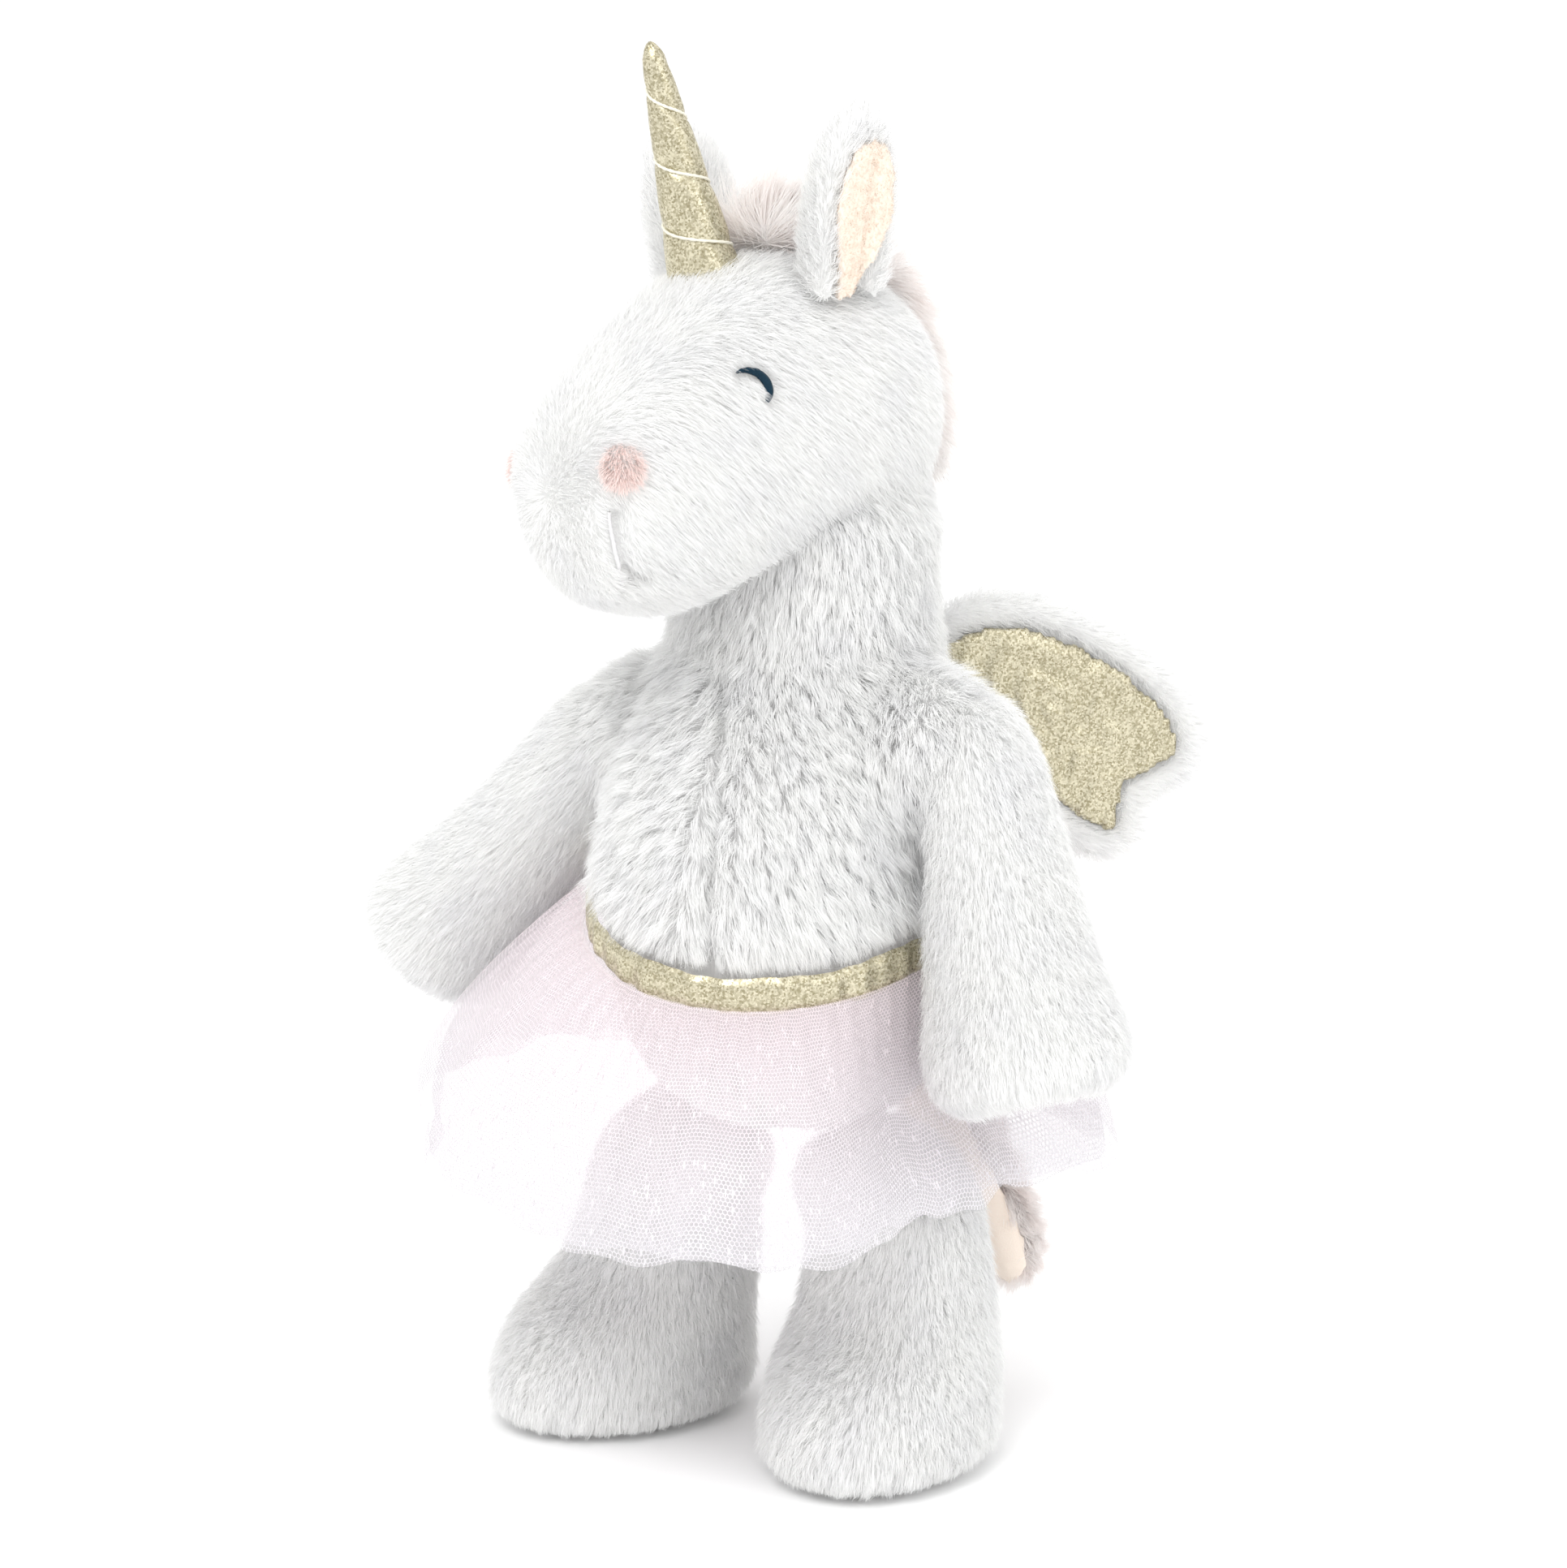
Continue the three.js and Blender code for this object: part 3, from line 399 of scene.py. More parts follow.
def tulle(name, light, deep, cell=1.35, strength=0.5):
    """Net of six-sided cells with short glitter dashes; u and v of its UV map are in metres."""
    m, tree, b = material(name, light, rough=0.5, sheen=0.3, specular=0.4)
    uv = node(tree, "ShaderNodeTexCoord")
    split = node(tree, "ShaderNodeSeparateXYZ")
    tree.links.new(uv.outputs["UV"], split.inputs[0])
    root3 = math.sqrt(3)
    u = maths(tree, "MULTIPLY", split.outputs[0], 1000 / cell)
    v = maths(tree, "MULTIPLY", split.outputs[1], 1000 / cell)

    def centred(value, period, shift):
        moved = maths(tree, "ADD", value, 1000.0 * period + shift)
        return maths(tree, "SUBTRACT", maths(tree, "MODULO", moved, period), period / 2)

    def hexed(shift_u, shift_v):
        a = maths(tree, "ABSOLUTE", centred(u, 1.0, shift_u))
        c = maths(tree, "ABSOLUTE", centred(v, root3, shift_v))
        slanted = maths(tree, "ADD", maths(tree, "MULTIPLY", a, 0.5), maths(tree, "MULTIPLY", c, root3 / 2))
        return maths(tree, "MAXIMUM", a, slanted)

    edge = maths(tree, "MINIMUM", hexed(0.0, 0.0), hexed(0.5, root3 / 2))
    thread = maths(tree, "GREATER_THAN", edge, 0.385)
    stretched = node(tree, "ShaderNodeCombineXYZ")
    tree.links.new(maths(tree, "MULTIPLY", split.outputs[0], 900.0), stretched.inputs[0])
    tree.links.new(maths(tree, "MULTIPLY", split.outputs[1], 300.0), stretched.inputs[1])
    dash = node(tree, "ShaderNodeTexVoronoi", Scale=1.0)
    tree.links.new(stretched.outputs[0], dash.inputs["Vector"])
    colours = node(tree, "ShaderNodeSeparateColor")
    tree.links.new(dash.outputs["Color"], colours.inputs["Color"])
    glitter = maths(tree, "MULTIPLY", maths(tree, "GREATER_THAN", colours.outputs["Red"], 0.84),
                    maths(tree, "LESS_THAN", dash.outputs["Distance"], 0.34))
    alpha = maths(tree, "MULTIPLY", thread, strength)
    alpha = maths(tree, "ADD", alpha, 0.30)
    alpha = maths(tree, "MAXIMUM", alpha, maths(tree, "MULTIPLY", glitter, 0.95))
    height = maths(tree, "MULTIPLY", split.outputs[1], 14.0, clamp=True)
    two_tone(tree, b.inputs["Base Color"], height, deep, light)
    clear = tree.nodes.new("ShaderNodeBsdfTransparent")
    mix = lit_through(tree, b, 0.35)
    shown = tree.nodes.new("ShaderNodeMixShader")
    out = [n for n in tree.nodes if n.type == "OUTPUT_MATERIAL"][0]
    tree.links.new(alpha, shown.inputs[0])
    tree.links.new(clear.outputs[0], shown.inputs[1])
    tree.links.new(mix.outputs[0], shown.inputs[2])
    tree.links.new(shown.outputs[0], out.inputs["Surface"])
    return m


WHITE = plush("white_plush", (0.99, 0.99, 0.985), (0.955, 0.955, 0.96))
PINKISH = plush("mane_plush", (0.99, 0.97, 0.96), (0.97, 0.92, 0.90))
NOSE = plush("nostril_plush", (0.98, 0.90, 0.88), (0.96, 0.84, 0.81), 200.0)
CURLY = plush("tail_plush", (0.99, 0.965, 0.955), (0.97, 0.91, 0.89), 150.0)
PEACH = woven("peach_cloth", (0.93, 0.84, 0.74), (0.90, 0.77, 0.67))
GOLD = lame("gold_lame", (0.70, 0.65, 0.49), (0.27, 0.235, 0.13))
CREAM = woven("cream_thread", (0.92, 0.90, 0.80), (0.80, 0.76, 0.62), 4000.0)
NAVY = woven("navy_thread", (0.012, 0.045, 0.075), (0.004, 0.014, 0.026), 3000.0, 0.1)
# painted shade: the mouth thread's grey darkens the line of the smile's crease
MOUTH_PAINTED_SHADE = woven("mouth_thread_painted_shade", (0.86, 0.85, 0.86), (0.72, 0.71, 0.72), 3000.0)
TULLE = tulle("pink_tulle", (0.84, 0.82, 0.85), (0.88, 0.79, 0.82))


# ---------------------------------------------------------------- fur
def grow(name, base, looks, body, comb, length=FUR, density=FUR_DENSITY, width=FUR_WIDTH,
         lean=50.0, clump=0.55, clump_share=26, mask=None, spread=0.25, tuft=0.0, seed=1, limit=60000):
    """Strands of pile on a skin: flat tapering ribbons, combed, gathered in small locks."""
    rng = np.random.default_rng(seed)
    p, n = points_of(base), normals_of(base)
    base.data.calc_loop_triangles()
    t = np.zeros(len(base.data.loop_triangles) * 3, np.int32)
    base.data.loop_triangles.foreach_get("vertices", t)
    t = t.reshape(-1, 3)
    area = np.linalg.norm(np.cross(p[t[:, 1]] - p[t[:, 0]], p[t[:, 2]] - p[t[:, 0]]), axis=1) / 2
    count = int(area.sum() * density)
    pick = rng.choice(len(t), count, p=area / area.sum())
    a, b = rng.random(count), rng.random(count)
    a, b = np.where(a + b > 1, 1 - a, a), np.where(a + b > 1, 1 - b, b)
    mix = lambda q: (q[t[pick, 0]] * (1 - a - b)[:, None] + q[t[pick, 1]] * a[:, None]
                     + q[t[pick, 2]] * b[:, None])
    root, up = mix(p), unit(mix(n))
    share = np.ones(count) if mask is None else mask(root, up)
    keep = share > 0.04
    root, up, share = root[keep], up[keep], share[keep]
    count = len(root)
    flow = comb(root, up)
    flow = flow - (flow * up).sum(1, keepdims=True) * up
    heads = rng.choice(count, max(1, count // clump_share), replace=False)
    tree = KDTree(len(heads))
    for i, h in enumerate(heads):
        tree.insert(root[h], i)
    tree.balance()
    near = np.fromiter((tree.find(q)[1] for q in root), np.int64, count)
    stray = rng.normal(0, 1, (len(heads), 3))[near]
    flow = unit(unit(flow) + stray * tuft + rng.normal(0, 0.05, (count, 3)))
    lean = np.radians(lean) * (0.8 + 0.4 * rng.random(count))[:, None]
    jitter = rng.normal(0, spread, (count, 3))
    first = unit(up * np.cos(lean * 0.6) + flow * np.sin(lean * 0.6) + jitter * 0.6)
    second = unit(up * np.cos(lean * 1.25) + flow * np.sin(lean * 1.25) + jitter)
    size = (length * share * (0.7 + 0.5 * rng.random(count)))[:, None]
    low = root - up * 0.4
    middle = root + first * size * 0.5
    tip = middle + second * size * 0.55
    leader = heads[near]
    lift = rng.normal(0, 0.5, (len(heads), 3)) + rng.normal(0, 1.0, (len(heads), 1)) * up[heads]
    grip = clump * (0.6 + 0.6 * rng.random(count))[:, None]
    target = tip[leader] + lift[near] + (tip - tip[leader]) * 0.25
    tip = tip + (target - tip) * np.clip(grip, 0, 0.95)
    middle = middle + (middle[leader] - middle) * np.clip(grip, 0, 0.95) * 0.35
    along = unit(tip - low)
    across = unit(np.cross(along, up))
    roll = rng.normal(0, 0.55, count)[:, None]
    across = across * np.cos(roll) + np.cross(along, across) * np.sin(roll)
    wide = (width * (0.7 + 0.6 * rng.random(count)))[:, None] * 0.5
    verts = np.stack([low - across * wide, low + across * wide,
                      middle - across * wide * 0.85, middle + across * wide * 0.85, tip], 1)
    shade = np.clip(rng.random(count) * 0.8 + rng.normal(0, 0.25, len(heads))[near], 0, 1)
    made = []
    for k, start in enumerate(range(0, count, limit)):
        part = slice(start, min(count, start + limit))
        v = verts[part].reshape(-1, 3)
        rows = np.arange(len(v) // 5)[:, None] * 5
        ribbons = [rows + np.array([0, 1, 3, 2]), rows + np.array([2, 3, 4])]
        obj = mesh_object(f"{name}_{k + 1}", v, ribbons, looks)
        attribute = obj.data.attributes.new("shade", "FLOAT", "POINT")
        attribute.data.foreach_set("value", np.repeat(shade[part], 5).astype(np.float32))
        if body:
            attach(obj, body)
        made.append(obj)
    return made


def towards(*direction):
    d = np.array(direction, float)
    return lambda p, n: np.broadcast_to(d, p.shape)


def ramp(x, low, high):
    t = np.clip((x - low) / (high - low), 0, 1)
    return t * t * (3 - 2 * t)


def near_node(source, reach, floor=0.0):
    """A length share that falls to floor within reach of a CAD node, by name, or of a piece."""
    source = nodes[source] if isinstance(source, str) else source
    me = source.data
    me.calc_loop_triangles()
    tris = [tuple(t.vertices) for t in me.loop_triangles]
    tree = BVHTree.FromPolygons([tuple(v.co) for v in me.vertices], tris)

    def share(p):
        low, high = points_of(source).min(0) - reach, points_of(source).max(0) + reach
        out = np.ones(len(p))
        for i in np.flatnonzero(((p > low) & (p < high)).all(1)):
            hit = tree.find_nearest(Vector(p[i] * MM), reach * MM)
            if hit[0] is not None:
                out[i] = floor + (1 - floor) * ramp(hit[3] / MM, reach * 0.55, reach)
        return out

    return share


def line_gap(local, points, reach, floor):
    """A length share that falls to floor near a line of points, in a local frame's Y and Z."""
    line = np.asarray(points, float)
    distance = np.full(len(local), 1e9)
    for q in line:
        distance = np.minimum(distance, np.hypot(local[:, 1] - q[0], local[:, 2] - q[1]))
    return floor + (1 - floor) * ramp(distance, reach * 0.3, reach)


def arc_points(centre, radius, start, end, steps=40):
    a = np.radians(np.linspace(start, end, steps))
    return np.stack([centre[0] + radius * np.cos(a), centre[1] + radius * np.sin(a)], -1)


# ---------------------------------------------------------------- torso and neck
def seam_x(z):
    """The front seam wanders a little to the toy's left on its way down."""
    return np.interp(z, [165, 193, 213, 233, 262], [22.4, 21.0, 15.0, 8.4, 3.0])


def seamed(p, n):
    near = np.exp(-((p[:, 0] - seam_x(p[:, 2])) / 2.6) ** 2) * (p[:, 1] < -5)
    side = np.exp(-((p[:, 1] + 2 - 0.3 * (p[:, 2] - 200)) / 3.0) ** 2) * (p[:, 0] > 40) * 0.8
    return p - n * (2.6 * near + 1.8 * side)[:, None]


def band_height(p):
    return p[:, 2] - (BAND_Z + (p[:, 1] - AXIS[1]) * BAND_TILT - (p[:, 0] - AXIS[0]) * BAND_ROLL)


torso = skin("torso_skin", ["torso_front_left", "torso_front_right", "torso_back", "torso_stuffing"],
             WHITE, 3.6, inset=3.0, smooth=10, shape=seamed, forms=[
                 ball((14.35, -2, 218), (40, 41, 30)),
                 ball((61, -9, 204), (20, 24, 25)), ball((-32, -9, 199), (20, 24, 25)),
                 ball((14.35, -8, 118), (47, 46, 30))])
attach(torso, "torso")


def torso_mask(p, n):
    h = band_height(p)
    share = 1 - 0.9 * ramp(-h, -8.0, -4.0) * ramp(h, -12.0, -6.0)
    share = np.where(h < 6, np.minimum(share, 0.4), share)
    share = share * (0.5 + 0.5 * ramp(h, 7, 13))
    share = share * (1 - 0.6 * (1 - ramp(np.abs(p[:, 0] - seam_x(p[:, 2])), 0.6, 3.4)) * (p[:, 1] < -5))
    return share * (1 + 0.25 * ramp(h, 9, 14) * (1 - ramp(h, 18, 28)))


def torso_comb(p, n):
    side = np.sign(p[:, 0] - AXIS[0])[:, None] * np.array([0.35, 0, 0])
    return np.array([0, 0, -1.0]) + side


grow("torso_fur", torso, WHITE, "torso", torso_comb, mask=torso_mask, seed=2, length=9.0,
     density=4.6, lean=56, clump=0.52, spread=0.17, tuft=0.15, clump_share=36)

NECK_RINGS = ((208, 29), (216, 34), (228, 35.5), (242, 34.5), (254, 34), (266, 34.5), (274, 31), (280, 24))
rings, around = 40, 96
zs = np.linspace(NECK_RINGS[0][0], NECK_RINGS[-1][0], rings)
radii = np.interp(zs, [z for z, r in NECK_RINGS], [r for z, r in NECK_RINGS])
verts = [(14.35 + r * math.cos(a), -0.04 + 1.04 * r * math.sin(a), z) for z, r in zip(zs, radii)
         for a in np.linspace(0, 2 * math.pi, around, endpoint=False)]
neck = mesh_object("neck_skin", verts, ring_quads(rings, around), WHITE)
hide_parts("neck_plush", "neck_stuffing")
# Every point of the neck is before start, so the neck's skin and fur follow the neck body and
# never turn with the head.
for piece in grow("neck_fur", neck, WHITE, None, towards(0, -0.1, -1), seed=3, length=8.0,
                  clump=0.45, spread=0.15, tuft=0.1, lean=58):
    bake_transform(piece)
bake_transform(neck)

# ---------------------------------------------------------------- head
EYE = arc_points((3.0, -7.4), 5.2, -34, 122)
MOUTH = arc_points((1.5, -33.5), 38.2, 184, 218)
NOSTRIL = (-35.8, -24.2)
NOSTRIL_RIGHT_BACK = 4.0        # the right nostril's fur is set this much further back


def smiling(p, n):
    """The smile is drawn in along its stitches and ends in a dimple."""
    q = HEAD.into(p)
    line = np.full(len(q), 1e9)
    for y, z in MOUTH:
        line = np.minimum(line, np.hypot(q[:, 1] - y, q[:, 2] - z))
    dimple = np.hypot(q[:, 1] - MOUTH[-1][0], q[:, 2] - MOUTH[-1][1])
    deep = 3.2 * np.exp(-(line / 2.4) ** 2) + 4.2 * np.exp(-(dimple / 4.0) ** 2)
    deep = deep * ramp(np.abs(q[:, 0]), 11, 17)
    return p - n * deep[:, None]


head = skin("head_skin", ["head_side_left", "head_side_right", "head_gusset", "head_stuffing",
                          "nostril_left", "nostril_right", "mouth_stitch_left", "mouth_stitch_right",
                          "eye_left", "eye_right"], WHITE, 3.2, inset=2.6, smooth=8, shape=smiling)
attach(head, "head")
head_tree = BVHTree.FromObject(head, bpy.context.evaluated_depsgraph_get())


def from_nostril(q):
    """How far points in the head's frame are from the middle of the nearer nostril."""
    x = np.abs(q[:, 0]) - 25.2
    y = q[:, 1] - np.where(q[:, 0] < 0, NOSTRIL[0] + NOSTRIL_RIGHT_BACK, NOSTRIL[0])
    return np.sqrt(x ** 2 + y ** 2 + (q[:, 2] - NOSTRIL[1]) ** 2)


def head_mask(p, n):
    q = HEAD.into(p)
    smile = line_gap(q, MOUTH, 3.2, 0.15)
    share = np.where(np.abs(q[:, 0]) > 15, smile, 1.0) * line_gap(q, EYE, 3.0, 0.3)
    share = share * ramp(from_nostril(q), 5.6, 8.0)
    muzzle = 0.6 + 0.4 * ramp(q[:, 1], -46, -5)
    h = HORN.into(p)
    horn = np.where(h[:, 2] > 0, ramp(np.hypot(h[:, 0], h[:, 1]), 7, 9), 1.0)
    return share * muzzle * horn


def head_comb(p, n):
    q = HEAD.into(p)
    back = np.tile(HEAD.y, (len(p), 1))
    down = -HEAD.z
    side = ramp(np.abs(q[:, 0]), 8, 30)[:, None]
    return back * (1 - 0.35 * side) + down * 0.8 * side


grow("head_fur", head, WHITE, "head", head_comb, mask=head_mask, seed=4, density=5.0,
     length=6.0, lean=66, clump=0.2, spread=0.11, width=0.2, clump_share=16)


def on_head(side, y, z):
    """The point of the head's skin at a place of its side, and the skin's normal there."""
    start = Vector(HEAD.out(np.array([side * 90.0, y, z])) * MM)
    hit = head_tree.ray_cast(start, Vector(-side * HEAD.x))
    if hit[0] is None:
        hit = head_tree.find_nearest(Vector(HEAD.out(np.array([side * 16.0, y, z])) * MM))
    return np.array(hit[0]) / MM, np.array(hit[1])


for side, label in ((1, "left"), (-1, "right")):
    # eye: satin stitches side by side across a crescent
    verts, faces = [], []
    steps = 46
    for i in range(steps):
        a = math.radians(-38 + 152 * i / (steps - 1))
        wide = 2.5 * math.sin(math.pi * ((i + 1.5) / (steps + 2)) ** 0.75) ** 0.7
        c = np.array([3.0 + 5.2 * math.cos(a), -7.4 + 5.2 * math.sin(a)])
        out = np.array([math.cos(a), math.sin(a)])
        lean = np.array([-out[1], out[0]]) * 0.25
        ends = [c - (out + lean) * wide / 2, c + (out + lean) * wide / 2]
        middle, normal = on_head(side, *c)
        tangent = np.cross(normal, unit(on_head(side, *ends[1])[0] - on_head(side, *ends[0])[0]))
        ring_count, around = 7, 6
        start = len(verts)
        for k in range(ring_count):
            s = k / (ring_count - 1)
            q, _ = on_head(side, *(ends[0] * (1 - s) + ends[1] * s))
            q = q + normal * (1.5 + 0.9 * math.sin(math.pi * s))
            for j in range(around):
                b = 2 * math.pi * j / around
                verts.append(q + tangent * 0.33 * math.cos(b) + normal * 0.3 * math.sin(b))
        for k in range(ring_count - 1):
            for j in range(around):
                j2 = (j + 1) % around
                faces.append((start + k * around + j, start + k * around + j2,
                              start + (k + 1) * around + j2, start + (k + 1) * around + j))
    eye = mesh_object(f"eye_stitches_{label}", verts, np.array(faces), NAVY)
    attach(eye, "head")
    # mouth: a sunk twisted line of stitches, its grey a painted shade of the smile's crease
    verts, faces = [], []
    line = MOUTH
    for i, (y, z) in enumerate(line):
        q, normal = on_head(side, y, z)
        nxt, _ = on_head(side, *line[min(i + 1, len(line) - 1)])
        prv, _ = on_head(side, *line[max(i - 1, 0)])
        t = unit(nxt - prv)
        across = np.cross(normal, t)
        fat = 0.7 * (0.7 + 0.3 * abs(math.sin(i * 0.9)))
        for j in range(6):
            b = 2 * math.pi * j / 6
            verts.append(q + normal * 0.4 + across * fat * math.cos(b) + normal * fat * math.sin(b))
    for i in range(len(line) - 1):
        for j in range(6):
            j2 = (j + 1) % 6
            faces.append((i * 6 + j, i * 6 + j2, (i + 1) * 6 + j2, (i + 1) * 6 + j))
    mouth = mesh_object(f"mouth_line_{label}", verts, np.array(faces), MOUTH_PAINTED_SHADE)
    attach(mouth, "head")


def nostril_mask(p, n):
    q = HEAD.into(p)
    return 1 - ramp(from_nostril(q), 6.2, 7.6)


grow("nostril_fur", head, NOSE, "head", towards(0, 0, -1), length=4.4, density=9,
     mask=nostril_mask, seed=5, lean=30, clump=0.2)


# ---------------------------------------------------------------- horn
def horn_radius(z):
    return np.where(z < HORN_TIP - 3, HORN_BASE_RADIUS - (HORN_BASE_RADIUS - HORN_TIP_RADIUS) * z / HORN_TIP,
                    2.9 * np.sqrt(np.clip((HORN_TIP + 1 - z) / 4.0, 0, 1)))


def wrap_angle(z):
    return math.radians(-40) - 2 * math.pi * (z - HORN_WRAP_Z) / HORN_PITCH


rows, around = 150, 64
zs = np.linspace(4, HORN_TIP + 0.98, rows)
angles = np.linspace(0, 2 * math.pi, around, endpoint=False)
Z, A = np.meshgrid(zs, angles, indexing="ij")
offset = (A - wrap_angle(Z)) / (2 * math.pi)
offset = np.abs(offset - np.round(offset)) * HORN_PITCH
pinch = np.exp(-(offset / 1.6) ** 2) * 0.5 * (1 - ramp(Z, 66, 74))
puff = np.sin(np.clip(offset / (HORN_PITCH / 2), 0, 1) * math.pi / 2) * 0.3 * (1 - ramp(Z, 62, 74))
ripple = 0.22 * np.sin(7 * A + Z * 0.9) * np.exp(-offset / 3.0)
R = horn_radius(Z) - pinch + puff + ripple
local = np.stack([R * np.cos(A), R * np.sin(A), Z], -1).reshape(-1, 3)
local = np.vstack([local, [[0, 0, HORN_TIP + 1]]])
last = (rows - 1) * around
cap = np.stack([last + np.arange(around), last + (np.arange(around) + 1) % around,
                np.full(around, rows * around)], -1)
horn = mesh_object("horn_cone", HORN.out(local), [ring_quads(rows, around), cap], GOLD)
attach(horn, "head")
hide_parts("horn_cover", "horn_stuffing")


def tube(name, points, radius, looks, sides=7, twist=0.0):
    """A round thread along points, in millimetres."""
    points = np.asarray(points, float)
    t = unit(np.gradient(points, axis=0))
    helper = np.array([0.3, 0.2, 0.93])
    verts = []
    for k, (q, d) in enumerate(zip(points, t)):
        u = unit(np.cross(d, helper))
        w = np.cross(d, u)
        for s in range(sides):
            b = 2 * math.pi * s / sides
            r = radius * (1 + twist * math.cos(2 * b + k * 0.9))
            verts.append(q + u * r * math.cos(b) + w * r * math.sin(b))
    return mesh_object(name, verts, ring_quads(len(points), sides), looks)


z = np.linspace(14, 69, 420)
r = horn_radius(z) - 0.25
a = wrap_angle(z)
thread = tube("horn_wrap", HORN.out(np.stack([r * np.cos(a), r * np.sin(a), z], -1)), 0.42, CREAM, twist=0.18)
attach(thread, "head")
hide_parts("horn_thread")

# ---------------------------------------------------------------- ears
for label, place in EARS.items():
    body = f"ear_{label}"

    def fuller(p, n, place=place):
        """The back of an ear is rounded out by its filling."""
        q = place.into(p)
        share = ramp(q[:, 1], -1.5, 4.0) * (0.55 + 0.45 * np.sin(np.clip(q[:, 2] / 60, 0, 1) * math.pi))
        return p + place.y * (6.5 * share)[:, None]

    def folded(p, n, place=place):
        """An ear's lining narrows to a point low at the front, and a soft crease runs up it."""
        q = place.into(p)
        wide = ramp(q[:, 2], 0, 34)
        x = q[:, 0] * (0.3 + 1.0 * wide) - 3.0 * (1 - wide)
        sunk = 1.6 * np.exp(-((x - 1.5) / 2.0) ** 2) * (1 - ramp(q[:, 2], 35, 52))
        sunk += 1.5 * (1 - ramp(q[:, 2], 2, 14)) - 0.9 * wide
        return p + place.x * (x - q[:, 0])[:, None] + place.y * sunk[:, None]

    ear = skin(f"ear_skin_{label}", [f"ear_plush_{label}"], WHITE, 1.9, inset=0.7, smooth=4, shape=fuller)
    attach(ear, body)
    lining = skin(f"ear_inside_{label}", [f"ear_lining_{label}"], PEACH, 0.9, inset=-0.3, smooth=10,
                  shape=folded)
    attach(lining, body)
    clear = near_node(lining, 0.7)
    grow(f"ear_fur_{label}", ear, WHITE, body, towards(*place.z), length=5.0, density=4.5,
         width=0.22, mask=lambda p, n: clear(p), seed=6, lean=52, clump=0.4, spread=0.2)
    grow(f"ear_nap_{label}", lining, PEACH, body, towards(*place.z), length=1.1, density=4.0,
         width=0.2, seed=7, lean=66, clump=0.05, spread=0.1)

# ---------------------------------------------------------------- arms and legs
for label in ("left", "right"):
    body = f"arm_{label}"
    girth, reach_more = (0.87, 4.0) if label == "right" else (1.04, 1.0)
    way, start = unit(np.array(ARM_WAY[label])), np.array(SHOULDER[label])

    def slimmer(p, n, girth=girth, way=way, start=start, reach_more=reach_more):
        along = (p - start) @ way
        middle = start + along[:, None] * way
        share = girth + (1 - girth) * (1 - ramp(along, -5, 45))
        rounder = 1 - 0.18 * ramp(along, 84, 116)
        reach = way * (reach_more * ramp(along, 50, 110))[:, None]
        return middle + (p - middle) * (share * rounder)[:, None] + reach

    arm = skin(f"arm_skin_{label}", [f"arm_outer_{label}", f"arm_inner_{label}", f"arm_pad_{label}",
                                     f"arm_stuffing_{label}"], WHITE, 3.2, inset=2.6, smooth=10,
               shape=slimmer)
    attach(arm, body)
    pad = near_node(f"arm_pad_{label}", 6.0, 0.3)
    grow(f"arm_fur_{label}", arm, WHITE, body, towards(*ARM_WAY[label]),
         mask=lambda p, n: pad(p), seed=8, density=4.6, lean=64, clump=0.3, spread=0.13, width=0.21,
         length=6.2, clump_share=20)
    body = f"leg_{label}"
    inward = -1 if label == "left" else 1

    def thigh(p, n, inward=inward):
        share = ramp(p[:, 2], 64, 84) * np.clip(n[:, 0] * inward, 0, 1)
        apart = 1 - ramp(p[:, 2], 30, 90)
        foot = n * np.array([1, 1, 0]) * (1.2 * apart)[:, None]
        return p + np.array([inward * 1.0, 0, 0]) * (10 * share - 4 * apart)[:, None] + foot

    leg = skin(f"leg_skin_{label}", [f"leg_outer_{label}", f"leg_inner_{label}", f"leg_sole_{label}",
                                     f"leg_stuffing_{label}"], WHITE, 3.4, inset=2.6, smooth=8, shape=thigh)
    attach(leg, body)

    def leg_mask(p, n):
        return 0.35 + 0.65 * ramp(p[:, 2], 2.0, 12.0)

    grow(f"leg_fur_{label}", leg, WHITE, body, towards(0, -0.35, -1), mask=leg_mask, seed=9,
         density=4.6, lean=60, clump=0.42, spread=0.15, width=0.21, clump_share=22)

# ---------------------------------------------------------------- wings
for label in ("left", "right"):
    body = f"wing_{label}"
    rim = skin(f"wing_skin_{label}", [f"wing_plush_{label}"], WHITE, 2.4, inset=1.2, smooth=4)
    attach(rim, body)
    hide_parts(f"wing_wadding_{label}")
    low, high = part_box(f"wing_gold_{label}")
    middle = (np.array(low) + np.array(high)) / 2 / MM

    def creased(p, n, middle=middle):
        d = p - middle
        far = np.linalg.norm(d, axis=1)
        fold = np.sin(far * 0.55 + 2.2 * np.sin(np.arctan2(d[:, 2], np.hypot(d[:, 0], d[:, 1])) * 5))
        return p + n * (0.45 * fold)[:, None]

    panel = skin(f"wing_panel_{label}", [f"wing_gold_{label}"], GOLD, 1.5, inset=-0.9, smooth=4,
                 shape=creased)
    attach(panel, body)
    clear = near_node(f"wing_gold_{label}", 1.3)
    out = middle - np.array([14.35, 47.96, 205.0])
    grow(f"wing_fur_{label}", rim, WHITE, body, towards(*out), length=5.0, density=4.2,
         width=0.22, mask=lambda p, n: clear(p), seed=10, lean=52, clump=0.3, spread=0.18)

# ---------------------------------------------------------------- mane and tail
mane = skin("mane_skin", ["mane"], PINKISH, 1.8, inset=0.5, smooth=3)
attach(mane, "head")


def mane_comb(p, n):
    q = HEAD.into(p)
    top = ramp(q[:, 2], 5, 30)[:, None]
    return HEAD.y * 0.6 + HEAD.z * 0.5 * top - HEAD.z * (1 - top)


grow("mane_hair", mane, PINKISH, "head", mane_comb, length=13.0, density=5.0, width=0.26,
     seed=12, lean=46, clump=0.6, clump_share=50, spread=0.22, tuft=0.2,
     mask=lambda p, n: 1 + 0.4 * (1 - ramp(HEAD.into(p)[:, 1], 40, 60)))

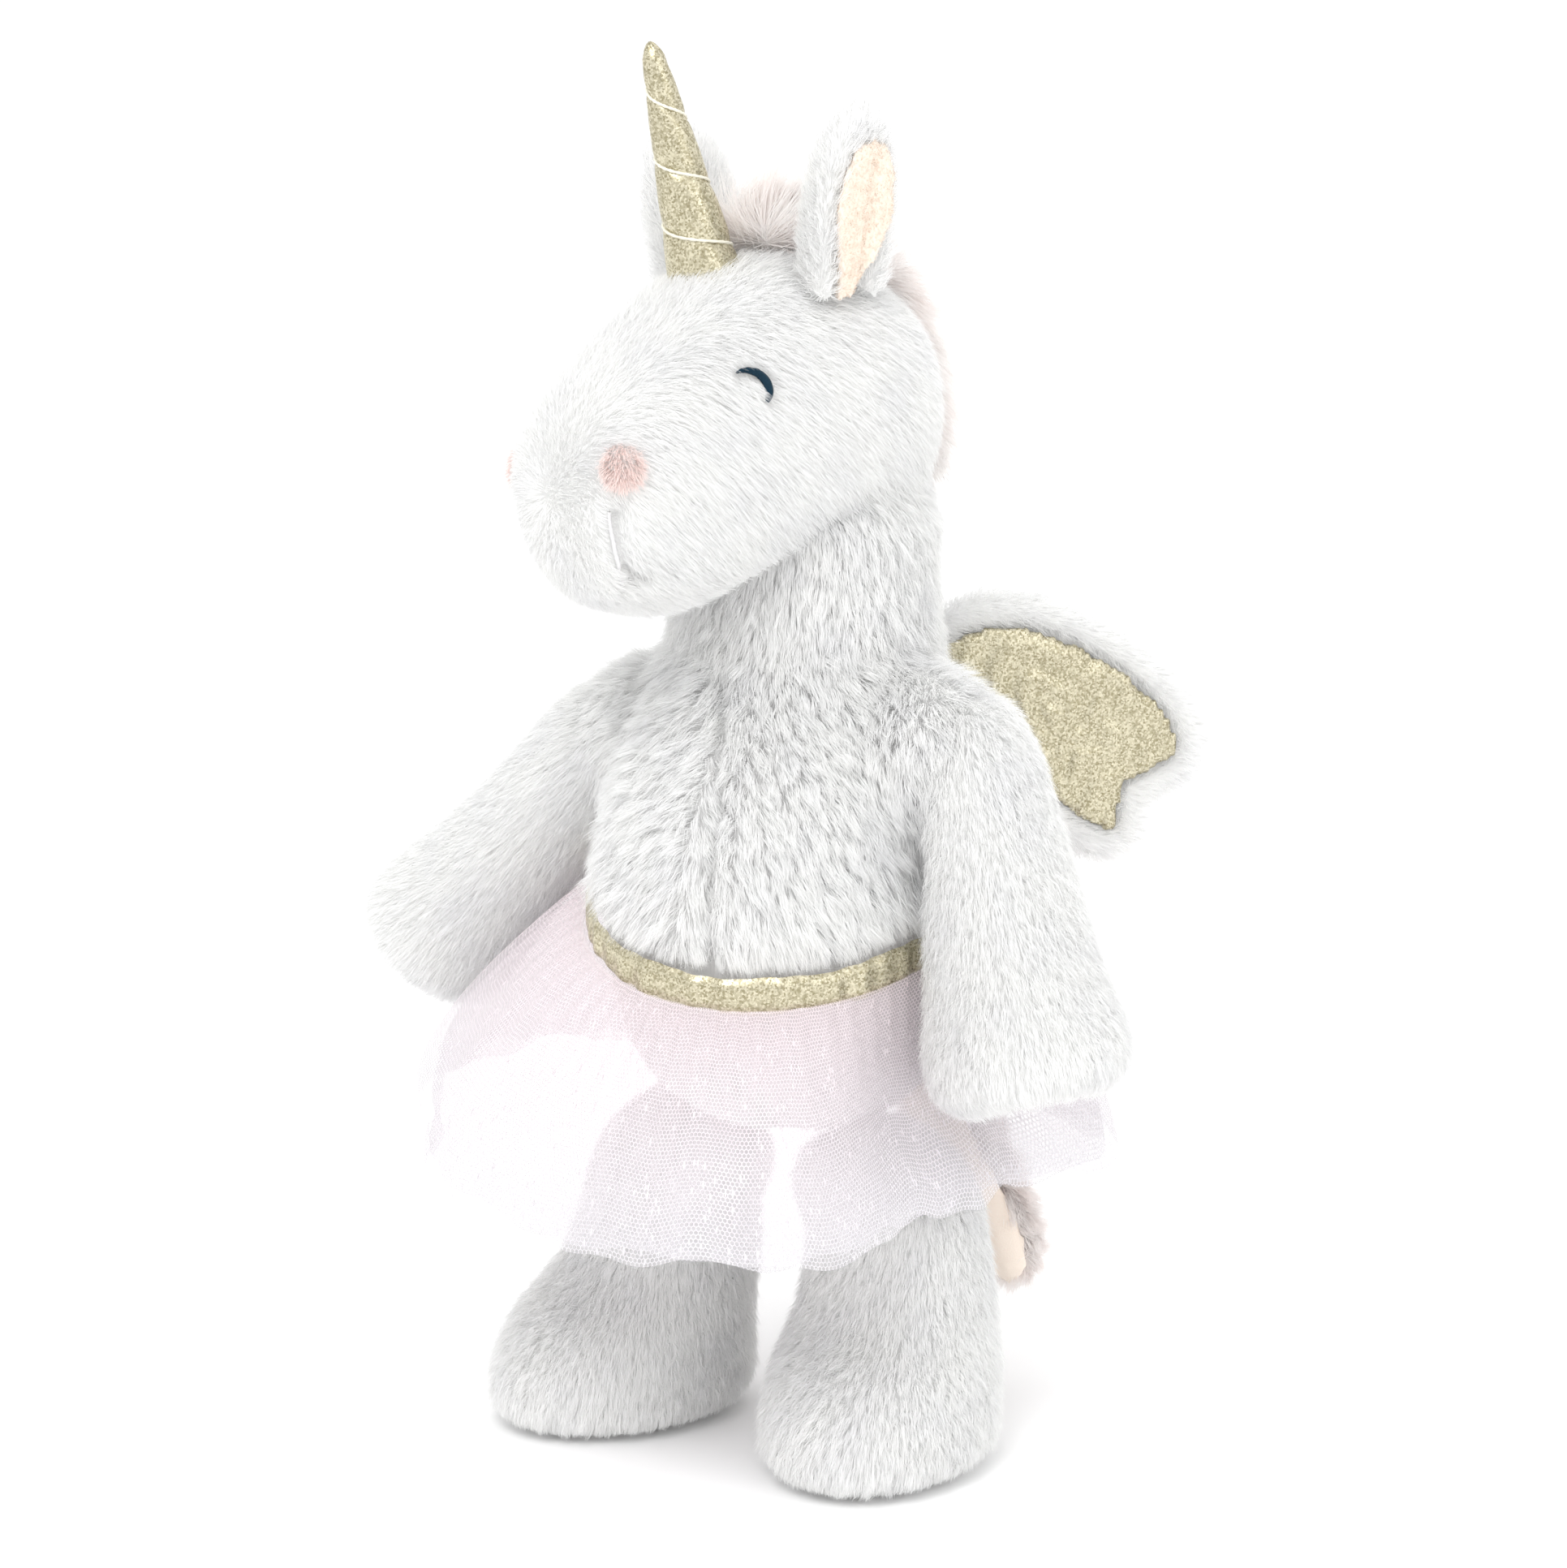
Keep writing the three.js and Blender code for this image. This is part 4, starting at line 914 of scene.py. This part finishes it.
tail = skin("tail_skin", ["tail_plush"], CURLY, 1.8, inset=1.0, smooth=3)
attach(tail, "tail")
backing = skin("tail_inside", ["tail_backing"], PEACH, 1.6, inset=0.0, smooth=3)
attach(backing, "tail")
grow("tail_hair", tail, CURLY, "tail", towards(0.2, 0.1, -1), length=8.0, density=8.0,
     width=0.26, seed=13, lean=44, clump=0.85, clump_share=90, spread=0.45)

# ---------------------------------------------------------------- waistband
band_tree = BVHTree.FromObject(nodes["waistband"], bpy.context.evaluated_depsgraph_get())
around, across = 360, 9
verts = []
for i in range(around):
    a = 2 * math.pi * i / around
    out = np.array([math.cos(a), math.sin(a), 0])
    reach = []
    for shift in (-0.12, -0.06, 0.0, 0.06, 0.12):
        way = np.array([math.cos(a + shift), math.sin(a + shift), 0])
        start = np.array([*AXIS, 0]) + way * 110
        start[2] = BAND_Z + (way[1] * 60) * BAND_TILT - (way[0] * 51) * BAND_ROLL
        hit = band_tree.ray_cast(Vector(start * MM), Vector(-way))
        if hit[0] is not None:
            reach.append(110 - hit[3] / MM)
    radius = float(np.mean(reach)) if reach else 56.0
    gather = 0.35 * math.sin(46 * a) + 0.3 * math.sin(29 * a + 1.0)
    for k in range(across):
        s = k / (across - 1) * 2 - 1
        bulge = 1.5 * math.sqrt(max(0.0, 1 - s ** 4)) + 0.4
        q = np.array([*AXIS, 0]) + out * (radius + bulge + gather * (1 - 0.4 * s * s))
        q[2] = (BAND_Z + (q[1] - AXIS[1]) * BAND_TILT - (q[0] - AXIS[0]) * BAND_ROLL
                + s * BAND_HEIGHT / 2 + 0.35 * math.sin(11 * a + s))
        verts.append(q)
i, k = np.meshgrid(np.arange(around), np.arange(across - 1), indexing="ij")
faces = np.stack([i * across + k, ((i + 1) % around) * across + k,
                  ((i + 1) % around) * across + k + 1, i * across + k + 1], -1).reshape(-1, 4)
band = mesh_object("waistband_lame", verts, faces, GOLD)
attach(band, "torso")
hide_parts("waistband")
strip = np.array(verts).reshape(around, across, 3) * MM
middle = strip[:, across // 2]


# ---------------------------------------------------------------- skirt
def skirt(name, inset, phase, looks, node_name):
    around, down = 720, 44
    A, V = np.meshgrid(np.linspace(-math.pi, math.pi, around + 1), np.linspace(0, 1, down), indexing="ij")
    away = np.abs(A - math.radians(-10))
    away = np.minimum(away, 2 * math.pi - away)
    press = np.exp(-((away / 0.62) ** 4))
    side = 1 + 0.16 * np.maximum(0, -np.cos(A))
    round_hem = 0.14 + 0.16 * np.maximum(0, -np.cos(A))
    free = SKIRT_FLARE * side * ((1 + round_hem) * V ** 0.8 - round_hem * V ** 5)
    flare = free * (1 - press) + 13 * ramp(V, 0.6, 0.95) * press
    fold = 3.0 * V * np.cos(9 * A + phase * 0.4 + 0.8 * np.sin(2 * A + 1)) * (0.7 + 0.5 * np.sin(3 * A + 2))
    ruffle = np.sin(23 * A + phase + 2.1 * np.sin(3 * A)) * (0.6 + 0.6 * np.sin(5 * A + phase))
    fold += 1.2 * V ** 1.3 * ruffle
    gather = np.exp(-V / 0.22) * (1 - np.exp(-V / 0.03))
    fold += 1.5 * gather * np.sin(61 * A + phase * 2 + 3 * np.sin(4 * A))
    fold *= 1 - 0.8 * press
    spread = 3.7 + flare + fold - inset * (1 + 0.35 * V)
    X = (BELLY[0] + spread) * np.cos(A)
    Y = (BELLY[1] + spread - 8 * V) * np.sin(A)
    hem = HEM_Z + HEM_LIFT * np.maximum(0, -np.cos(A)) ** 2 + 1.6 * np.sin(9 * A + phase)
    hem += 1.0 * np.sin(23 * A + 2 * phase)
    top = (BAND_Z - BAND_HEIGHT / 2 + 1.5 + 60 * np.sin(A) * BAND_TILT - 51 * np.cos(A) * BAND_ROLL)
    Zs = top * (1 - V) + hem * V
    verts = np.stack([X + AXIS[0], Y + AXIS[1], Zs], -1).reshape(-1, 3)
    i, k = np.meshgrid(np.arange(around), np.arange(down - 1), indexing="ij")
    faces = np.stack([i * down + k, i * down + k + 1, (i + 1) * down + k + 1, (i + 1) * down + k], -1)
    made = mesh_object(name, verts, faces.reshape(-1, 4), looks)
    grid = verts.reshape(around + 1, down, 3)
    run = np.linalg.norm(np.diff(grid[:, -1], axis=0), axis=1)
    fallen = np.linalg.norm(np.diff(grid[around // 4], axis=0), axis=1)
    U = np.concatenate([[0], np.cumsum(run)]) * MM
    W = (np.concatenate([[0], np.cumsum(fallen)])) * MM
    layer = made.data.uv_layers.new(name="cloth")
    loops = np.zeros(len(made.data.loops), np.int32)
    made.data.loops.foreach_get("vertex_index", loops)
    uv = np.stack([U[loops // down], W[loops % down]], -1)
    layer.data.foreach_set("uv", uv.astype(np.float32).ravel())
    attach(made, "torso")
    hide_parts(node_name)
    return made


skirt("skirt_outer_net", 0.0, 0.0, TULLE, "skirt_outer_tulle")
skirt("skirt_inner_net", 3.1, 2.1, TULLE, "skirt_inner_tulle")

# ---------------------------------------------------------------- studio
bpy.ops.mesh.primitive_plane_add(size=12, location=(0, 0, 0))
floor = bpy.context.object
floor_looks, _, _ = material("floor", (0.99, 0.99, 0.99), rough=0.9, specular=0.0)
floor.data.materials.append(floor_looks)
floor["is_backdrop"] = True

world = bpy.data.worlds.new("studio")
world.use_nodes = True
world.node_tree.nodes["Background"].inputs[0].default_value = (1.0, 1.0, 1.0, 1)
world.node_tree.nodes["Background"].inputs[1].default_value = WORLD_STRENGTH
scene.world = world


def lamp(name, place, size, power):
    data = bpy.data.lights.new(name, "AREA")
    data.size, data.energy = size, power
    made = bpy.data.objects.new(name, data)
    made.location = place
    aim = Vector((0, 0, 0.2)) - Vector(place)
    made.rotation_euler = aim.to_track_quat("-Z", "Y").to_euler()
    scene.collection.objects.link(made)
    return made


lamp("key", (0.35, -1.5, 1.9), 0.9, 17)
lamp("fill", (1.6, -0.4, 0.9), 1.2, 4)
lamp("back", (-0.6, 1.4, 1.3), 1.2, 5)

camera = bpy.data.objects.new("camera", bpy.data.cameras.new("camera"))
scene.collection.objects.link(camera)
camera.location = CAMERA_PLACE
camera.data.lens, camera.data.sensor_width = CAMERA_LENS, CAMERA_SENSOR
camera.rotation_euler = (Vector(CAMERA_AIM) - camera.location).to_track_quat("-Z", "Y").to_euler()
scene.camera = camera
scene.view_settings.view_transform = "Standard"

low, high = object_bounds()
